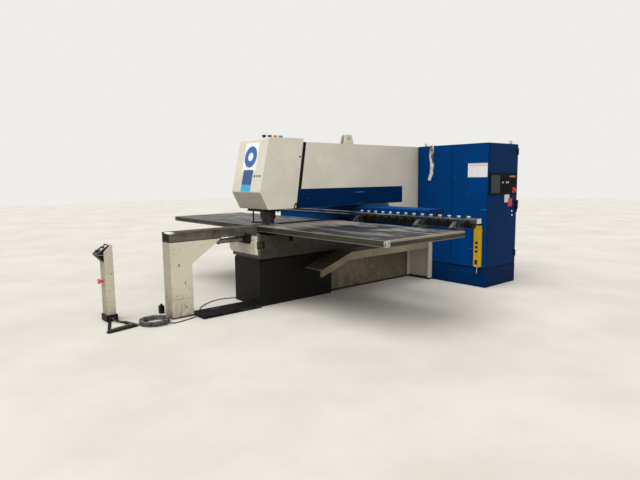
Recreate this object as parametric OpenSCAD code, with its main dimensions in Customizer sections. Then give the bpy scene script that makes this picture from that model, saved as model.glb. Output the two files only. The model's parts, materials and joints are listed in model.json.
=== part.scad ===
// C-frame sheet punching machine with a sliding sheet table, a cross rail that carries
// the tool magazine and the sheet clamps, a control cabinet and an operator pedestal.
// Millimetres. Origin on the floor under the punch axis, +Y into the throat, +Z up,
// +X to the right of somebody who stands at the front of the machine.

/* [Table] */
// Height of the sheet table above the floor
table_h = 950; // [930:1:970]
// Height of the table's edge profile
table_t = 65; // [50:1:72]
// From the centre line to the outer edge of each table
table_reach = 2198; // [1900:1:2400]
// From the punch axis forward to the tables' front edge
table_front = 226; // [150:1:300]
// From the punch axis back to the tables' rear edge
table_rear = 972; // [800:1:1000]
// Thickness of the table's top plate
table_plate = 10; // [6:1:16]
// Width of the table's edge profile
table_rim = 30; // [20:1:50]
// Gap between a table and the fixed bridge beam
table_gap = 4; // [3:0.5:8]
// Cross ribs under each table
table_ribs = 5; // [3:1:7]

/* [Bridge] */
// Width of the fixed bridge beam
bridge_w = 180; // [150:1:200]
// From the punch axis forward to the end of the bridge beam
bridge_reach = 1344; // [1300:1:1500]
// Depth of the bridge leg from front to back
leg_d = 254; // [200:1:300]
// Height at which the leg's gusset starts
gusset_z = 589; // [450:1:680]
// How far the gusset reaches behind the leg
gusset_reach = 373; // [250:1:450]
// Diameter of the tie rod between the gusset and the nose casting
tie_d = 60; // [40:1:70]

/* [C-frame] */
// Width of the frame's arms
arm_w = 624; // [560:1:680]
// From the throat's floor up to the table's top
throat_floor = 100; // [94:1:110]
// From the table's top up to the throat's roof
throat_roof = 200; // [196:1:230]
// Height of the upper arm
arm_top = 1955; // [1850:1:2000]
// From the punch axis back to the throat's rear wall
throat_y = 1900; // [1870:1:1960]
// Radius of the throat's rear corners
throat_r = 60; // [30:1:100]
// From the punch axis back to the frame's rear face
frame_rear = 3277; // [3100:1:3400]
// Height of the seat where the frame stands on its base
seat_z = 575; // [540:1:600]
// From the punch axis forward to the nose casting's face
nose_front = 390; // [370:1:420]
// Height of the nose casting's face
nose_h = 214; // [190:1:240]
// Height of the blue side panel
panel_h = 235; // [180:1:300]
// Rear end of the blue side panel
panel_rear = 2172; // [2000:1:2250]
// Depth of the side panel's recess
panel_d = 6; // [4:1:12]

/* [Base] */
// Width of the base wall
base_w = 400; // [340:1:480]
// Width of the base across its side shelves
shelf_w = 1200; // [1100:1:1250]
// Height of a side shelf's edge
shelf_t = 100; // [70:1:120]
// Front end of the side shelf
shelf_y0 = 860; // [800:1:950]
// Front face of the base's rear wings
wing_y = 2500; // [2420:1:2510]
// From the punch axis forward to the base's front cover
cover_front = 330; // [300:1:340]
// Width of the base's front cover
cover_w = 550; // [500:1:600]
// Wall of the front cover
cover_t = 4; // [3:1:6]

/* [Head] */
// Height of the hood
hood_top = 1995; // [1965:1:2040]
// Wall of the hood
hood_t = 5; // [3:1:8]
// Depth of the rubber seal between hood and arm
seal_d = 48; // [30:1:60]
// Diameter of the rotating tool holder
holder_d = 190; // [160:1:200]
// Diameter of the ram
ram_d = 110; // [90:1:130]
// Diameter of the ram cylinder
cylinder_d = 230; // [200:1:260]
// Height of the gap for the sheet under the stripper
sheet_gap = 8; // [6:0.5:10]
// Diameter of the die's seat
die_seat_d = 76; // [60:1:90]
// Depth of the die's seat
die_seat_h = 25; // [20:1:40]
// Outer diameter of the rotating die holder
die_ring_d = 130; // [110:1:150]

/* [Cross beam and rail] */
// Length of the cross beam
beam_l = 2990; // [2800:1:3100]
// Front face of the cross beam behind the punch axis
beam_y = 1275; // [1270:1:1300]
// Depth of the cross beam
beam_d = 285; // [240:1:300]
// From the table's top up to the cross beam's top
beam_rise = 180; // [160:1:188]
// Front face of the cross rail behind the punch axis
rail_y = 1185; // [1180:1:1200]
// Left end of the cross rail
rail_x0 = 215; // [180:1:260]
// Right end of the cross rail
rail_x1 = 2207; // [2150:1:2260]
// From the table's top up to the cross rail's lower edge
rail_rise = 60; // [55:1:70]
// Height of the cross rail
rail_h = 52; // [40:1:65]
// Distance between the rail's tool stations
station_pitch = 126; // [120:1:140]
// Number of tool stations
station_n = 14; // [10:1:15]
// Middle of the last station, from the rail's right end
station_end = 120; // [80:1:160]
// Width of a tool cassette
cassette_w = 112; // [90:1:118]
// Diameter of the tool bay in a cassette
bay_d = 84; // [60:1:90]
// How far a tool stands in front of the rail
tool_proud = 12; // [6:1:14]
// Width of a sheet clamp
clamp_w = 96; // [70:1:110]
// How far a clamp reaches in front of the rail
clamp_reach = 140; // [100:1:160]

/* [Cabinet] */
// Left side of the cabinet
cab_x0 = 319; // [317:1:340]
// Right side of the cabinet
cab_x1 = 1494; // [1400:1:1560]
// Front of the cabinet
cab_y0 = 2520; // [2519:1:2560]
// Rear of the cabinet
cab_y1 = 3277; // [3150:1:3400]
// Height of the cabinet
cab_h = 1958; // [1800:1:2100]
// Height of the plinth
plinth_h = 259; // [200:1:320]
// Thickness of the cabinet's door and panels
door_t = 20; // [15:1:25]
// Sheet thickness of the cabinet's body
cab_t = 3; // [2:0.5:5]
// Width of the light guard's housing
guard_w = 85; // [70:1:100]
// Height of the light guard's housing
guard_h = 530; // [450:1:600]

/* [Pedestal] */
// Width of the operator post
post_w = 140; // [110:1:160]
// Depth of the operator post
post_d = 95; // [80:1:120]
// Height of the operator post
post_h = 826; // [780:1:860]
// Left side of the operator post
post_x = -450; // [-500:1:-420]
// Rear side of the operator post
post_y = -1810; // [-1850:1:-1780]
// Diameter of the pedestal's cable
cable_d = 12; // [10:1:14]

/* [Hidden] */

// Clearances
seat = 0.3;
run = 0.05;

// Heights and half widths that several pieces share
throat_z0 = table_h - throat_floor;
throat_z1 = table_h + throat_roof;
nose_z = throat_z0 - nose_h;
beam_top = table_h + beam_rise;
rail_z0 = table_h + rail_rise;
rail_z1 = rail_z0 + rail_h;
arm_hw = arm_w / 2;
bridge_hw = bridge_w / 2;
table_x0 = bridge_hw + table_gap;
table_z0 = table_h - table_t;
strip_top = table_h - 25;
clamp_bottom = table_h - 20;
notch_top = table_h + 5;

// The hood's rear edge leans back with the seal and the arm's front face
hood_y0 = 204;
hood_lean = 0.158;
function hood_rear(z) = hood_y0 + hood_lean * (z - throat_z1);
function arm_face(z) = hood_rear(z) + seal_d + seat;
// The hood's front face, chin and brow
chin_y = -209;
chin_z = 1360;
jaw_y = -318;
brow_y = -170;

steel = "#8a8a86";
beige = "#c9c2b2";
blue = "#12386e";
black = "#1b1b1d";
grey = "#5b5c5e";

function unit(v) = v / norm(v);
// Points of a round of radius r at corner b of the outline a, b, c
function fillet(a, b, c, r, n) =
    let(u = unit(a - b), v = unit(c - b), half = acos(u * v) / 2,
        m = b + unit(u + v) * r / sin(half), p = b + u * r / tan(half) - m,
        q = b + v * r / tan(half) - m, s = atan2(p[1], p[0]),
        turn = (atan2(q[1], q[0]) - s + 540) % 360 - 180)
    [for (i = [0 : n]) m + r * [cos(s + turn * i / n), sin(s + turn * i / n)]];
// An outline with a radius at each corner; a radius of zero leaves it sharp
function rounded(pts, radii, n = 6) = let(k = len(pts))
    [for (i = [0 : k - 1])
        each radii[i] > 0 ? fillet(pts[(i + k - 1) % k], pts[i], pts[(i + 1) % k], radii[i], n)
            : [pts[i]]];

// A block between two corners
module block(a, b) {
    translate(a) cube(b - a);
}
// An outline in Y and Z, extruded along X from x0 to x1
module across(x0, x1, outline) {
    translate([x0, 0, 0]) rotate([90, 0, 90]) linear_extrude(x1 - x0) polygon(outline);
}
// An outline in X and Z, extruded along Y from y0 to y1
module along(y0, y1, outline) {
    translate([0, y1, 0]) rotate([90, 0, 0]) linear_extrude(y1 - y0) polygon(outline);
}
// An outline in X and Y, extruded upward from z0 to z1
module upright(z0, z1, outline) {
    translate([0, 0, z0]) linear_extrude(z1 - z0) polygon(outline);
}
// A vertical cylinder
module post_round(x, y, z0, z1, d, fn = 48) {
    translate([x, y, z0]) cylinder(h = z1 - z0, d = d, $fn = fn);
}
// A cylinder along X
module bar_x(x0, x1, y, z, d, fn = 48) {
    translate([x0, y, z]) rotate([0, 90, 0]) cylinder(h = x1 - x0, d = d, $fn = fn);
}
// A cylinder along Y
module bar_y(x, y0, y1, z, d, fn = 48) {
    translate([x, y1, z]) rotate([90, 0, 0]) cylinder(h = y1 - y0, d = d, $fn = fn);
}
module mirrored() {
    children();
    mirror([1, 0, 0]) children();
}

// Welded frame: upper arm, rear column and lower arm round the open throat
frame_outline = rounded(
    [[arm_face(throat_z1), throat_z1], [arm_face(arm_top), arm_top], [frame_rear, arm_top],
     [frame_rear, seat_z], [-cover_front + seat, seat_z], [-cover_front + seat, throat_z0],
     [throat_y, throat_z0], [throat_y, throat_z1]],
    [0, 20, 30, 0, 0, 0, throat_r, throat_r]);
panel_outline = rounded(
    [[arm_face(throat_z1) - seal_d / 2, throat_z1 - 0.5],
     [arm_face(throat_z1 + panel_h) - seal_d / 2, throat_z1 + panel_h],
     [panel_rear, throat_z1 + panel_h], [panel_rear, throat_z1 - 0.5]],
    [0, 0, 12, 0]);
module c_frame() {
    color(beige) difference() {
        across(-arm_hw, arm_hw, frame_outline);
        across(arm_hw - panel_d, arm_hw + 1, panel_outline);
        across(-arm_hw - 1, -arm_hw + panel_d, panel_outline);
        // Slug hole under the die
        post_round(0, 0, seat_z - 1, throat_z0 + 1, die_seat_d);
        nose_pocket();
        // Groove round the rear cover
        difference() {
            block([-230, frame_rear - 3, seat_z + 110], [230, frame_rear + 1, arm_top - 130]);
            block([-224, frame_rear - 4, seat_z + 116], [224, frame_rear + 2, arm_top - 136]);
        }
    }
}

// Recessed side panels of the upper arm, which reach forward to the hood's edge
panel_gap = 6;
module side_panel(x0) {
    color(blue) across(x0, x0 + panel_d - seat - 2, rounded(
        [[hood_rear(throat_z1) + panel_gap, throat_z1 + 1],
         [hood_rear(throat_z1 + panel_h) + panel_gap, throat_z1 + panel_h - 1.5],
         [panel_rear - 1.5, throat_z1 + panel_h - 1.5], [panel_rear - 1.5, throat_z1 + 1]],
        [0, 0, 11, 0]));
}
module side_panel_right() {
    side_panel(arm_hw - panel_d + seat);
}
module side_panel_left() {
    mirror([1, 0, 0]) side_panel(arm_hw - panel_d + seat);
}

// Base under the frame: wall, side shelves with a haunch, and rear wings
shelf_hw = shelf_w / 2;
base_hw = base_w / 2;
haunch_y = shelf_y0 - 500;
bracket_y = shelf_y0 + 610;
module base_frame() {
    color(beige) {
        block([-base_hw, -cover_front + 40, 0], [base_hw, frame_rear, seat_z - cover_t - seat]);
        block([-base_hw, shelf_y0 - 60 + seat, seat_z - 20], [base_hw, frame_rear, seat_z - seat]);
        // Shelf with its haunch, cut from one plate profile on each side
        difference() {
            across(-shelf_hw, shelf_hw, [[haunch_y, seat_z - 175], [shelf_y0, seat_z - seat],
                [wing_y, seat_z - seat], [wing_y, seat_z - shelf_t],
                [shelf_y0 - 33, seat_z - shelf_t], [haunch_y, seat_z - 262]]);
            mirrored() across(base_hw + 60, shelf_hw - 30, [[haunch_y - 1, 0],
                [haunch_y - 1, seat_z - 187.4], [shelf_y0, seat_z - 12],
                [wing_y - 40, seat_z - 12], [wing_y - 40, 0]]);
            // The front cover stands between the haunches
            block([-cover_hw - seat, haunch_y - 1, 0], [cover_hw + seat, shelf_y0 - 60 + seat, seat_z]);
        }
        // Front bracket, which stands proud of the shelf's edge
        mirrored() across(shelf_hw - 1, shelf_hw + 8, [[haunch_y, seat_z - 175],
            [shelf_y0, seat_z - seat], [bracket_y, seat_z - seat], [bracket_y, seat_z - shelf_t + 8],
            [shelf_y0 - 33, seat_z - shelf_t], [haunch_y, seat_z - 262]]);
        // Rear wings reach the floor, with a flange round their edge
        mirrored() {
            block([base_hw - 1, wing_y - 1, 0], [shelf_hw, cab_y0 - seat, seat_z - seat]);
            block([shelf_hw - 22, wing_y - 60, 0], [shelf_hw, wing_y, seat_z - seat]);
            block([base_hw - 1, wing_y - 60, 0], [shelf_hw, wing_y, 12]);
        }
        // Round boss on the wall
        mirrored() bar_x(base_hw - 1, base_hw + 6, 1560, 325, 150);
    }
}

// Black sheet cover round the front of the base
cover_hw = cover_w / 2;
module front_cover() {
    color(black) difference() {
        along(-cover_front, shelf_y0 - 60, rounded(
            [[-cover_hw, 0], [cover_hw, 0], [cover_hw, seat_z - seat],
             [-cover_hw, seat_z - seat]],
            [0, 0, 50, 50]));
        along(-cover_front + cover_t, shelf_y0, rounded(
            [[-cover_hw + cover_t, -1], [cover_hw - cover_t, -1],
             [cover_hw - cover_t, seat_z - cover_t], [-cover_hw + cover_t, seat_z - cover_t]],
            [0, 0, 48, 48]));
    }
}

// Pocket in the frame's side behind the nose's fixings
nose_pocket_z = throat_z0 - 150;
module nose_pocket() {
    mirrored() block([arm_hw - 30, -nose_front + 14, nose_pocket_z],
        [arm_hw + 1, -cover_front + 60, nose_pocket_z + 88]);
}
// Nose of the lower arm in front of the base: two bolted lugs beside a round-cornered recess
nose_lip = nose_front - 15;
nose_recess = 24;
module nose_casting() {
    color(beige) difference() {
        union() {
            intersection() {
                across(-arm_hw, arm_hw, [[-nose_front, nose_z], [-nose_front, throat_z0],
                    [-cover_front, throat_z0], [-cover_front, nose_z - 46],
                    [-cover_front - 8, nose_z - 46], [-nose_lip, nose_z]]);
                upright(0, throat_z0 + 1, rounded(
                    [[-arm_hw, -nose_front], [arm_hw, -nose_front], [arm_hw, 0], [-arm_hw, 0]],
                    [34, 34, 0, 0]));
                along(-nose_front - 1, 0, rounded(
                    [[-arm_hw, nose_z + 78], [-arm_hw + 96, nose_z - 47], [arm_hw, nose_z - 47],
                     [arm_hw, throat_z0], [-arm_hw, throat_z0]], [40, 60, 20, 0, 34]));
            }
            // Ears beside the bridge, sloped to the front
            mirrored() across(arm_hw - 46, arm_hw - 2, rounded(
                [[-nose_front + 2, throat_z0 - 30], [-cover_front - 18, throat_z0 + 27],
                 [-cover_front - 2, throat_z0 + 27], [-cover_front - 2, throat_z0 - 30]],
                [0, 6, 6, 0]));
            // Bolted pads of the two lugs
            mirrored() along(-nose_front - 8, -nose_front + 1, rounded(
                [[arm_hw - 138, throat_z0 - 128], [arm_hw - 24, throat_z0 - 128],
                 [arm_hw - 24, throat_z0 - 12], [arm_hw - 138, throat_z0 - 12]],
                [30, 30, 14, 14]));
        }
        // Recess round the tie rod, open at the top
        along(-nose_front - 10, -nose_front + nose_recess, rounded(
            [[-150, throat_z0 - 98], [150, throat_z0 - 98], [150, throat_z0 + 1],
             [-150, throat_z0 + 1]], [44, 44, 0, 0]));
        // Holes for fixings
        mirrored() for (x = [arm_hw - 112, arm_hw - 56], z = [throat_z0 - 98, throat_z0 - 46])
            bar_y(x, -nose_front - 9, -nose_front + 25, z, 17, 24);
        for (x = [-110, 0, 110]) bar_y(x, -nose_front - 1, -nose_front + 20, nose_z + 38, 14, 24);
        nose_pocket();
    }
}

// Fixed beam of the bridge between the tables
beam_front = -bridge_reach;
block_front = -130;
module bridge_beam() {
    color(steel) across(-bridge_hw, bridge_hw, rounded(
        [[beam_front, table_h], [block_front - seat, table_h],
         [block_front - seat, throat_z0 + seat], [beam_front, throat_z0 + seat]],
        [3, 0, 0, 3]));
}
// Leg with its gusset
leg_rear = -bridge_reach + leg_d;
module bridge_leg() {
    color(beige) across(-bridge_hw, bridge_hw,
        [[beam_front, 0], [leg_rear, 0], [leg_rear, gusset_z],
         [leg_rear + gusset_reach, throat_z0 - 8], [leg_rear + gusset_reach, throat_z0],
         [beam_front, throat_z0]]);
}
// Tie rod from the gusset's tip to the nose casting
tie_z = throat_z0 - tie_d / 2 - 22;
module bridge_tie() {
    tip = leg_rear + gusset_reach;
    root = tip - 60;
    color(grey) {
        bar_y(0, tip + seat, -nose_front + nose_recess - seat, tie_z, tie_d);
        bar_y(0, tip + seat, tip + 24, tie_z, tie_d + 22, 6);
    }
}

// Rubber seal round the hood's rear edge
module seal_ring(x, z0, z1) {
    across(-x, x, [[hood_rear(z0) + seat, z0], [hood_rear(z1) + seat, z1],
        [hood_rear(z1) + seal_d, z1], [hood_rear(z0) + seal_d, z0]]);
}
module hood_seal() {
    color(black) difference() {
        seal_ring(arm_hw, throat_z1 + panel_h + 2, arm_top);
        seal_ring(arm_hw - 16, throat_z1, arm_top - 16);
    }
}

// Lifting lug with two ears on the upper arm
lug_y = 1350;
module lifting_lug() {
    color(beige) {
        block([-70, lug_y - 95, arm_top + seat / 3], [70, lug_y + 95, arm_top + 22]);
        for (x = [-46, 26]) difference() {
            across(x, x + 20, rounded(
                [[lug_y - 90, arm_top + 20], [lug_y - 58, arm_top + 150],
                 [lug_y + 58, arm_top + 150], [lug_y + 90, arm_top + 20]],
                [0, 34, 34, 0]));
            bar_x(x - 1, x + 21, lug_y, arm_top + 96, 56);
        }
    }
}

// Block round the die in line with the bridge beam
module die_block() {
    color(grey) difference() {
        block([-bridge_hw, block_front, throat_z0 + seat], [bridge_hw, -block_front, table_h - 1]);
        post_round(0, 0, throat_z0 + 30, table_h + 1, die_ring_d + 2 * run);
        post_round(0, 0, throat_z0 - 1, table_h, die_seat_d);
    }
}
// Fixed strip between the tables, behind the die
module center_strip() {
    color(steel) block([-bridge_hw, -block_front + seat, throat_z0 + seat],
        [bridge_hw, throat_y - throat_r - 5, strip_top]);
}
// Guide rails for the cross beam on top of the lower arm
guide_x = 250;
module y_rails() {
    color(steel) mirrored() along(120, throat_y - throat_r - 5,
        [[guide_x - 15, throat_z0], [guide_x + 15, throat_z0], [guide_x + 15, throat_z0 + 14],
         [guide_x + 9, throat_z0 + 18], [guide_x + 15, throat_z0 + 22],
         [guide_x + 15, throat_z0 + 30], [guide_x - 15, throat_z0 + 30],
         [guide_x - 15, throat_z0 + 22], [guide_x - 9, throat_z0 + 18],
         [guide_x - 15, throat_z0 + 14]]);
}

// Black plate under the head
plate_z = throat_z1 - 15;
rod_x = -146;
rod_y = -120;
module head_plate() {
    color(black) difference() {
        union() {
            upright(plate_z, throat_z1 - seat, rounded([[-190, -178], [190, -178], [190, 78],
                [-190, 78]], [20, 20, 20, 20]));
            // Web that carries the plate and the cylinder on the arm
            block([-130, 60, plate_z], [130, hood_y0 + seal_d + 200, throat_z1 - seat]);
        }
        // The tool holder rises into this opening
        post_round(0, 0, plate_z - 1, throat_z1 + 1, holder_d + 6);
        post_round(rod_x, rod_y, plate_z - 1, throat_z1 + 1, 20 + 2 * run);
    }
}
// Hydraulic cylinder of the ram, with its flange and the web to the arm
cyl_top = 1760;
module ram_cylinder() {
    color(grey) difference() {
        union() {
            post_round(0, 0, throat_z1, cyl_top, cylinder_d, 64);
            post_round(0, 0, throat_z1, throat_z1 + 40, cylinder_d + 60, 64);
            across(-70, 70, [[0, throat_z1 + 40], [0, cyl_top - 40],
                [arm_face(cyl_top - 40) - seat, cyl_top - 40],
                [arm_face(throat_z1 + 40) - seat, throat_z1 + 40]]);
        }
        post_round(0, 0, throat_z1 - 2, cyl_top - 60, ram_d + 2 * run, 64);
    }
}
// Motor that turns the tool, beside the cylinder
drive_x = cylinder_d / 2 + 93;
module turning_drive() {
    color(black) {
        block([-drive_x - 57, -45, throat_z1], [-drive_x + 57, 70, throat_z1 + 90]);
        post_round(-drive_x, 12, throat_z1 + 89, throat_z1 + 300, 100);
        post_round(-drive_x, 12, throat_z1 + 299, throat_z1 + 330, 70);
    }
}

// Ram, its rotating tool holder and the stripper
holder_z0 = table_h + 44;
holder_z1 = plate_z - 16;
module ram() {
    color("silver") {
        post_round(0, 0, holder_z1 + seat, cyl_top - 110, ram_d, 64);
    }
}
module tool_holder() {
    color(black) difference() {
        union() {
            post_round(0, 0, holder_z0 + 26, holder_z1, holder_d, 64);
            post_round(0, 0, holder_z0, holder_z0 + 27, holder_d - 36, 64);
        }
        post_round(0, 0, holder_z0 - 1, holder_z0 + 50, 40);
        // Key slot for the tool's wing
        block([-9, 15, holder_z0 - 1], [9, 48, holder_z0 + 14]);
        // Grip recesses round the rim
        for (a = [0 : 45 : 315]) rotate(a) post_round(holder_d / 2, 0, holder_z0 + 60,
            holder_z1 - 20, 20, 24);
    }
}
strip_z0 = table_h + sheet_gap;
module stripper() {
    color("#9a9a96") {
        difference() {
            union() {
                post_round(0, 0, strip_z0, holder_z0 - 2, 158, 64);
                upright(strip_z0 + 8, holder_z0 - 8, rounded(
                    [[-30, 20], [rod_x + 14, rod_y + 30], [rod_x - 36, rod_y - 14],
                     [rod_x + 20, rod_y - 40], [40, -40]], [0, 12, 16, 16, 0]));
            }
            post_round(0, 0, strip_z0 - 1, holder_z0, 80, 64);
        }
        post_round(rod_x, rod_y, holder_z0 - 10, throat_z1 + 30, 20);
    }
}
// Rotating die holder with the die's seat
module die_holder() {
    color("silver") difference() {
        post_round(0, 0, throat_z0 + 30 + seat, table_h - 2, die_ring_d, 64);
        post_round(0, 0, table_h - 2 - die_seat_h, table_h, die_seat_d);
        post_round(0, 0, throat_z0, table_h, die_seat_d - 20);
    }
}

// Hood over the head: one folded shell, open to the rear and below
hood_outer = rounded(
    [[hood_rear(throat_z1), throat_z1], [chin_y, throat_z1], [jaw_y, chin_z],
     [brow_y, hood_top], [hood_rear(hood_top), hood_top]],
    [0, 14, 24, 34, 0]);
chin_lean = (chin_y - jaw_y) / (chin_z - throat_z1);
chin_wall = hood_t * sqrt(1 + chin_lean * chin_lean);
hood_inner = rounded(
    [[hood_rear(throat_z1) + 20, throat_z1 - 10], [chin_y + 10 * chin_lean + chin_wall, throat_z1 - 10],
     [jaw_y + chin_wall, chin_z], [brow_y + hood_t, hood_top - hood_t],
     [hood_rear(hood_top) + 20, hood_top - hood_t]],
    [0, 0, 22, 30, 0]);
module hood() {
    color(beige) difference() {
        across(-arm_hw, arm_hw, hood_outer);
        across(-arm_hw + hood_t, arm_hw - hood_t, hood_inner);
        bar_x(arm_hw - hood_t - 1, arm_hw + 1, lock_y, lock_z, 24 + 2 * run);
    }
}
// Lock in the hood's right side, with its key slot
lock_z = 1776;
lock_y = hood_rear(lock_z) - 26.9;
module hood_lock() {
    color(black) difference() {
        union() {
            bar_x(arm_hw - hood_t - 20, arm_hw + 4, lock_y, lock_z, 24);
            block([arm_hw - hood_t - 19, lock_y, lock_z - 9],
                [arm_hw - hood_t - 13, lock_y + 38, lock_z + 9]);
        }
        block([arm_hw, lock_y - 2, lock_z - 7], [arm_hw + 5, lock_y + 2, lock_z + 7]);
    }
}
// Row of caps on the hood
module hood_caps() {
    for (i = [0 : 3]) color(["#2c5d86", "#2c5d86", "#c0692c", "#2f8fc4"][i]) {
        post_round(60, -70 + 82 * i, hood_top, hood_top + 20, 34, 32);
        post_round(60, -70 + 82 * i, hood_top + 19, hood_top + 44, 50, 32);
    }
}

// Cross beam that straddles the centre strip
beam_hw = beam_l / 2;
beam_rear = beam_y + beam_d;
beam_z0 = table_z0 + 5;
module cross_beam() {
    color(blue) difference() {
        across(-beam_hw, beam_hw, rounded(
            [[beam_y, beam_z0], [beam_y, beam_top], [beam_rear, beam_top],
             [beam_rear, beam_z0]], [6, 24, 24, 6]));
        block([-bridge_hw - 10, beam_y - 1, 0], [bridge_hw + 10, beam_rear + 1, notch_top]);
    }
}
// Runner blocks on the guide rails
module y_runners() {
    color(grey) mirrored() for (y = [beam_y + 20, beam_rear - 120])
        along(y, y + 100,
            [[guide_x - 45, throat_z0 + 4], [guide_x - 15 - seat, throat_z0 + 4],
             [guide_x - 15 - seat, throat_z0 + 30 + seat],
             [guide_x + 15 + seat, throat_z0 + 30 + seat],
             [guide_x + 15 + seat, throat_z0 + 4], [guide_x + 45, throat_z0 + 4],
             [guide_x + 45, beam_z0 - seat], [guide_x - 45, beam_z0 - seat]]);
}
// Guides for the cross rail on the beam's front face
rail_rear = beam_y - 15;
module x_guides() {
    color(steel) for (z = [rail_z0 + 4, rail_z1 - 14])
        along(rail_rear, beam_y - seat, [[-beam_hw + 5, z], [beam_hw - 5, z],
            [beam_hw - 5, z + 10], [-beam_hw + 5, z + 10]]);
}
// Arms under the tables, fixed to the cross beam
table_arm_x = 620;
module table_arms() {
    color(grey) mirrored() {
        difference() {
            block([table_arm_x, -table_front + 80, table_z0 - 80],
                [table_arm_x + 80, beam_rear - 20, table_z0 - seat]);
            block([table_arm_x + 6, -table_front + 79, table_z0 - 74],
                [table_arm_x + 74, beam_rear - 19, table_z0 - 6 - seat]);
        }
        // Pad between the arm and the cross beam
        block([table_arm_x, beam_y + 10, table_z0 - 1],
            [table_arm_x + 80, beam_rear - 20, beam_z0 - seat]);
    }
}

// Sheet table: top plate, edge profile and cross ribs
module table_right() {
    inner_x = table_reach - table_rim;
    step = (inner_x - table_x0 - table_rim) / (table_ribs + 1);
    color(steel) difference() {
        block([table_x0, -table_front, table_z0], [table_reach, table_rear, table_h]);
        difference() {
            block([table_x0 + table_rim, -table_front + table_rim, table_z0 - 1],
                [inner_x, table_rear - table_rim, table_h - table_plate]);
            for (i = [1 : table_ribs]) {
                x = table_x0 + table_rim + step * i;
                block([x - 8, -table_front, table_z0 - 2], [x + 8, table_rear, table_h]);
            }
        }
        // Bolt heads' counterbores along the front edge
        for (i = [0 : 7]) bar_y(table_x0 + 120 + 265 * i, -table_front - 1, -table_front + 6,
            table_h - 36, 12, 16);
    }
}
module table_left() {
    mirror([1, 0, 0]) table_right();
}

// Cross rail: an extrusion with a slot on top and a lip in front
module x_rail() {
    color("#b9bab6") {
        across(rail_x0, rail_x1,
            [[rail_y, rail_z0], [rail_y, rail_z0 + 38], [rail_y + 8, rail_z0 + 42],
             [rail_y + 8, rail_z1], [rail_y + 26, rail_z1], [rail_y + 26, rail_z1 - 12],
             [rail_y + 34, rail_z1 - 12], [rail_y + 34, rail_z1], [rail_rear - seat, rail_z1],
             [rail_rear - seat, rail_z0]]);
    }
}
function station_x(i) = rail_x1 - station_end - station_pitch * i;
// Stations whose cassette gives way to a sheet clamp
clamp_stations = [1, 5, 13];
clamp_x = [for (s = [13, 5, 1]) station_x(s)];
// Knobs that free the cassettes, one over each station
module station_knobs() {
    color("white") for (i = [0 : station_n - 1]) {
        post_round(station_x(i), rail_y + 17, rail_z1, rail_z1 + 14, 14, 16);
        upright(rail_z1 + 13, rail_z1 + 24, rounded(
            [[station_x(i) - 24, rail_y + 5], [station_x(i) + 24, rail_y + 5],
             [station_x(i) + 15, rail_y + 30], [station_x(i) - 15, rail_y + 30]],
            [8, 8, 8, 8], 3));
    }
}
// Tool cassettes under the rail, each with the rounded front of its tool before the rail
cassette_z0 = table_h + 5;
tool_top = rail_z0 + 26;
module cassette(x) {
    difference() {
        block([x - cassette_w / 2, rail_y + 3, cassette_z0],
            [x + cassette_w / 2, rail_rear - seat, rail_z0 - seat / 3]);
        post_round(x, rail_y + 30, cassette_z0 - 1, rail_z0 - 8, bay_d * 0.8, 32);
    }
    block([x - bay_d / 2, rail_y - tool_proud, cassette_z0], [x + bay_d / 2, rail_y + 4, rail_z0 - seat]);
    along(rail_y - tool_proud, rail_y - seat, concat(
        [for (a = [0 : 15 : 180]) [x + bay_d / 2 * cos(a), rail_z0 - 20 + (tool_top - rail_z0 + 20) * sin(a)]],
        [[x - bay_d / 2, cassette_z0], [x + bay_d / 2, cassette_z0]]));
}
module tool_cassettes() {
    color(black) for (i = [0 : station_n - 1])
        if (len(search(i, clamp_stations)) == 0) cassette(station_x(i));
}
// Fixed lower jaws of the sheet clamps, bolted under the rail
jaw_y0 = rail_y - clamp_reach;
hinge_y = rail_y - 40;
hinge_z = table_h + 44;
module clamp_bodies() {
    color(grey) for (x = clamp_x) difference() {
        across(x - clamp_w / 2, x + clamp_w / 2,
            [[jaw_y0, clamp_bottom], [jaw_y0, table_h - 4], [jaw_y0 + 45, table_h - 1],
             [jaw_y0 + 52, table_h + 10], [hinge_y - 22, table_h + 12],
             [hinge_y - 14, hinge_z + 16], [hinge_y + 14, hinge_z + 16],
             [hinge_y + 22, rail_z0 - 30], [rail_y, rail_z0 - seat / 3],
             [rail_rear - seat, rail_z0 - seat / 3], [rail_rear - seat, clamp_bottom + 10],
             [rail_y, clamp_bottom]]);
        // Slot for the upper jaw
        block([x - 24.5, jaw_y0 - 1, table_h], [x + 24.5, rail_y - 4, rail_z1]);
        bar_x(x - clamp_w, x + clamp_w, hinge_y, hinge_z, 16 + 2 * run, 32);
    }
}
// Moving upper jaw with its hinge pin
module clamp_jaw(x) {
    color("#a9a9a2") {
        across(x - 24, x + 24,
            [[jaw_y0 + 4, table_h + 3], [jaw_y0 + 4, table_h + 13],
             [hinge_y - 16, hinge_z + 26], [hinge_y + 16, hinge_z + 26],
             [hinge_y + 26, hinge_z + 8], [hinge_y + 20, hinge_z - 14],
             [hinge_y - 30, hinge_z - 20], [jaw_y0 + 50, table_h + 3]]);
        bar_x(x - clamp_w / 2 + 1, x + clamp_w / 2 - 1, hinge_y, hinge_z, 16, 32);
    }
}
module clamp_jaw_1() {
    clamp_jaw(clamp_x[0]);
}
module clamp_jaw_2() {
    clamp_jaw(clamp_x[1]);
}
module clamp_jaw_3() {
    clamp_jaw(clamp_x[2]);
}

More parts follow.
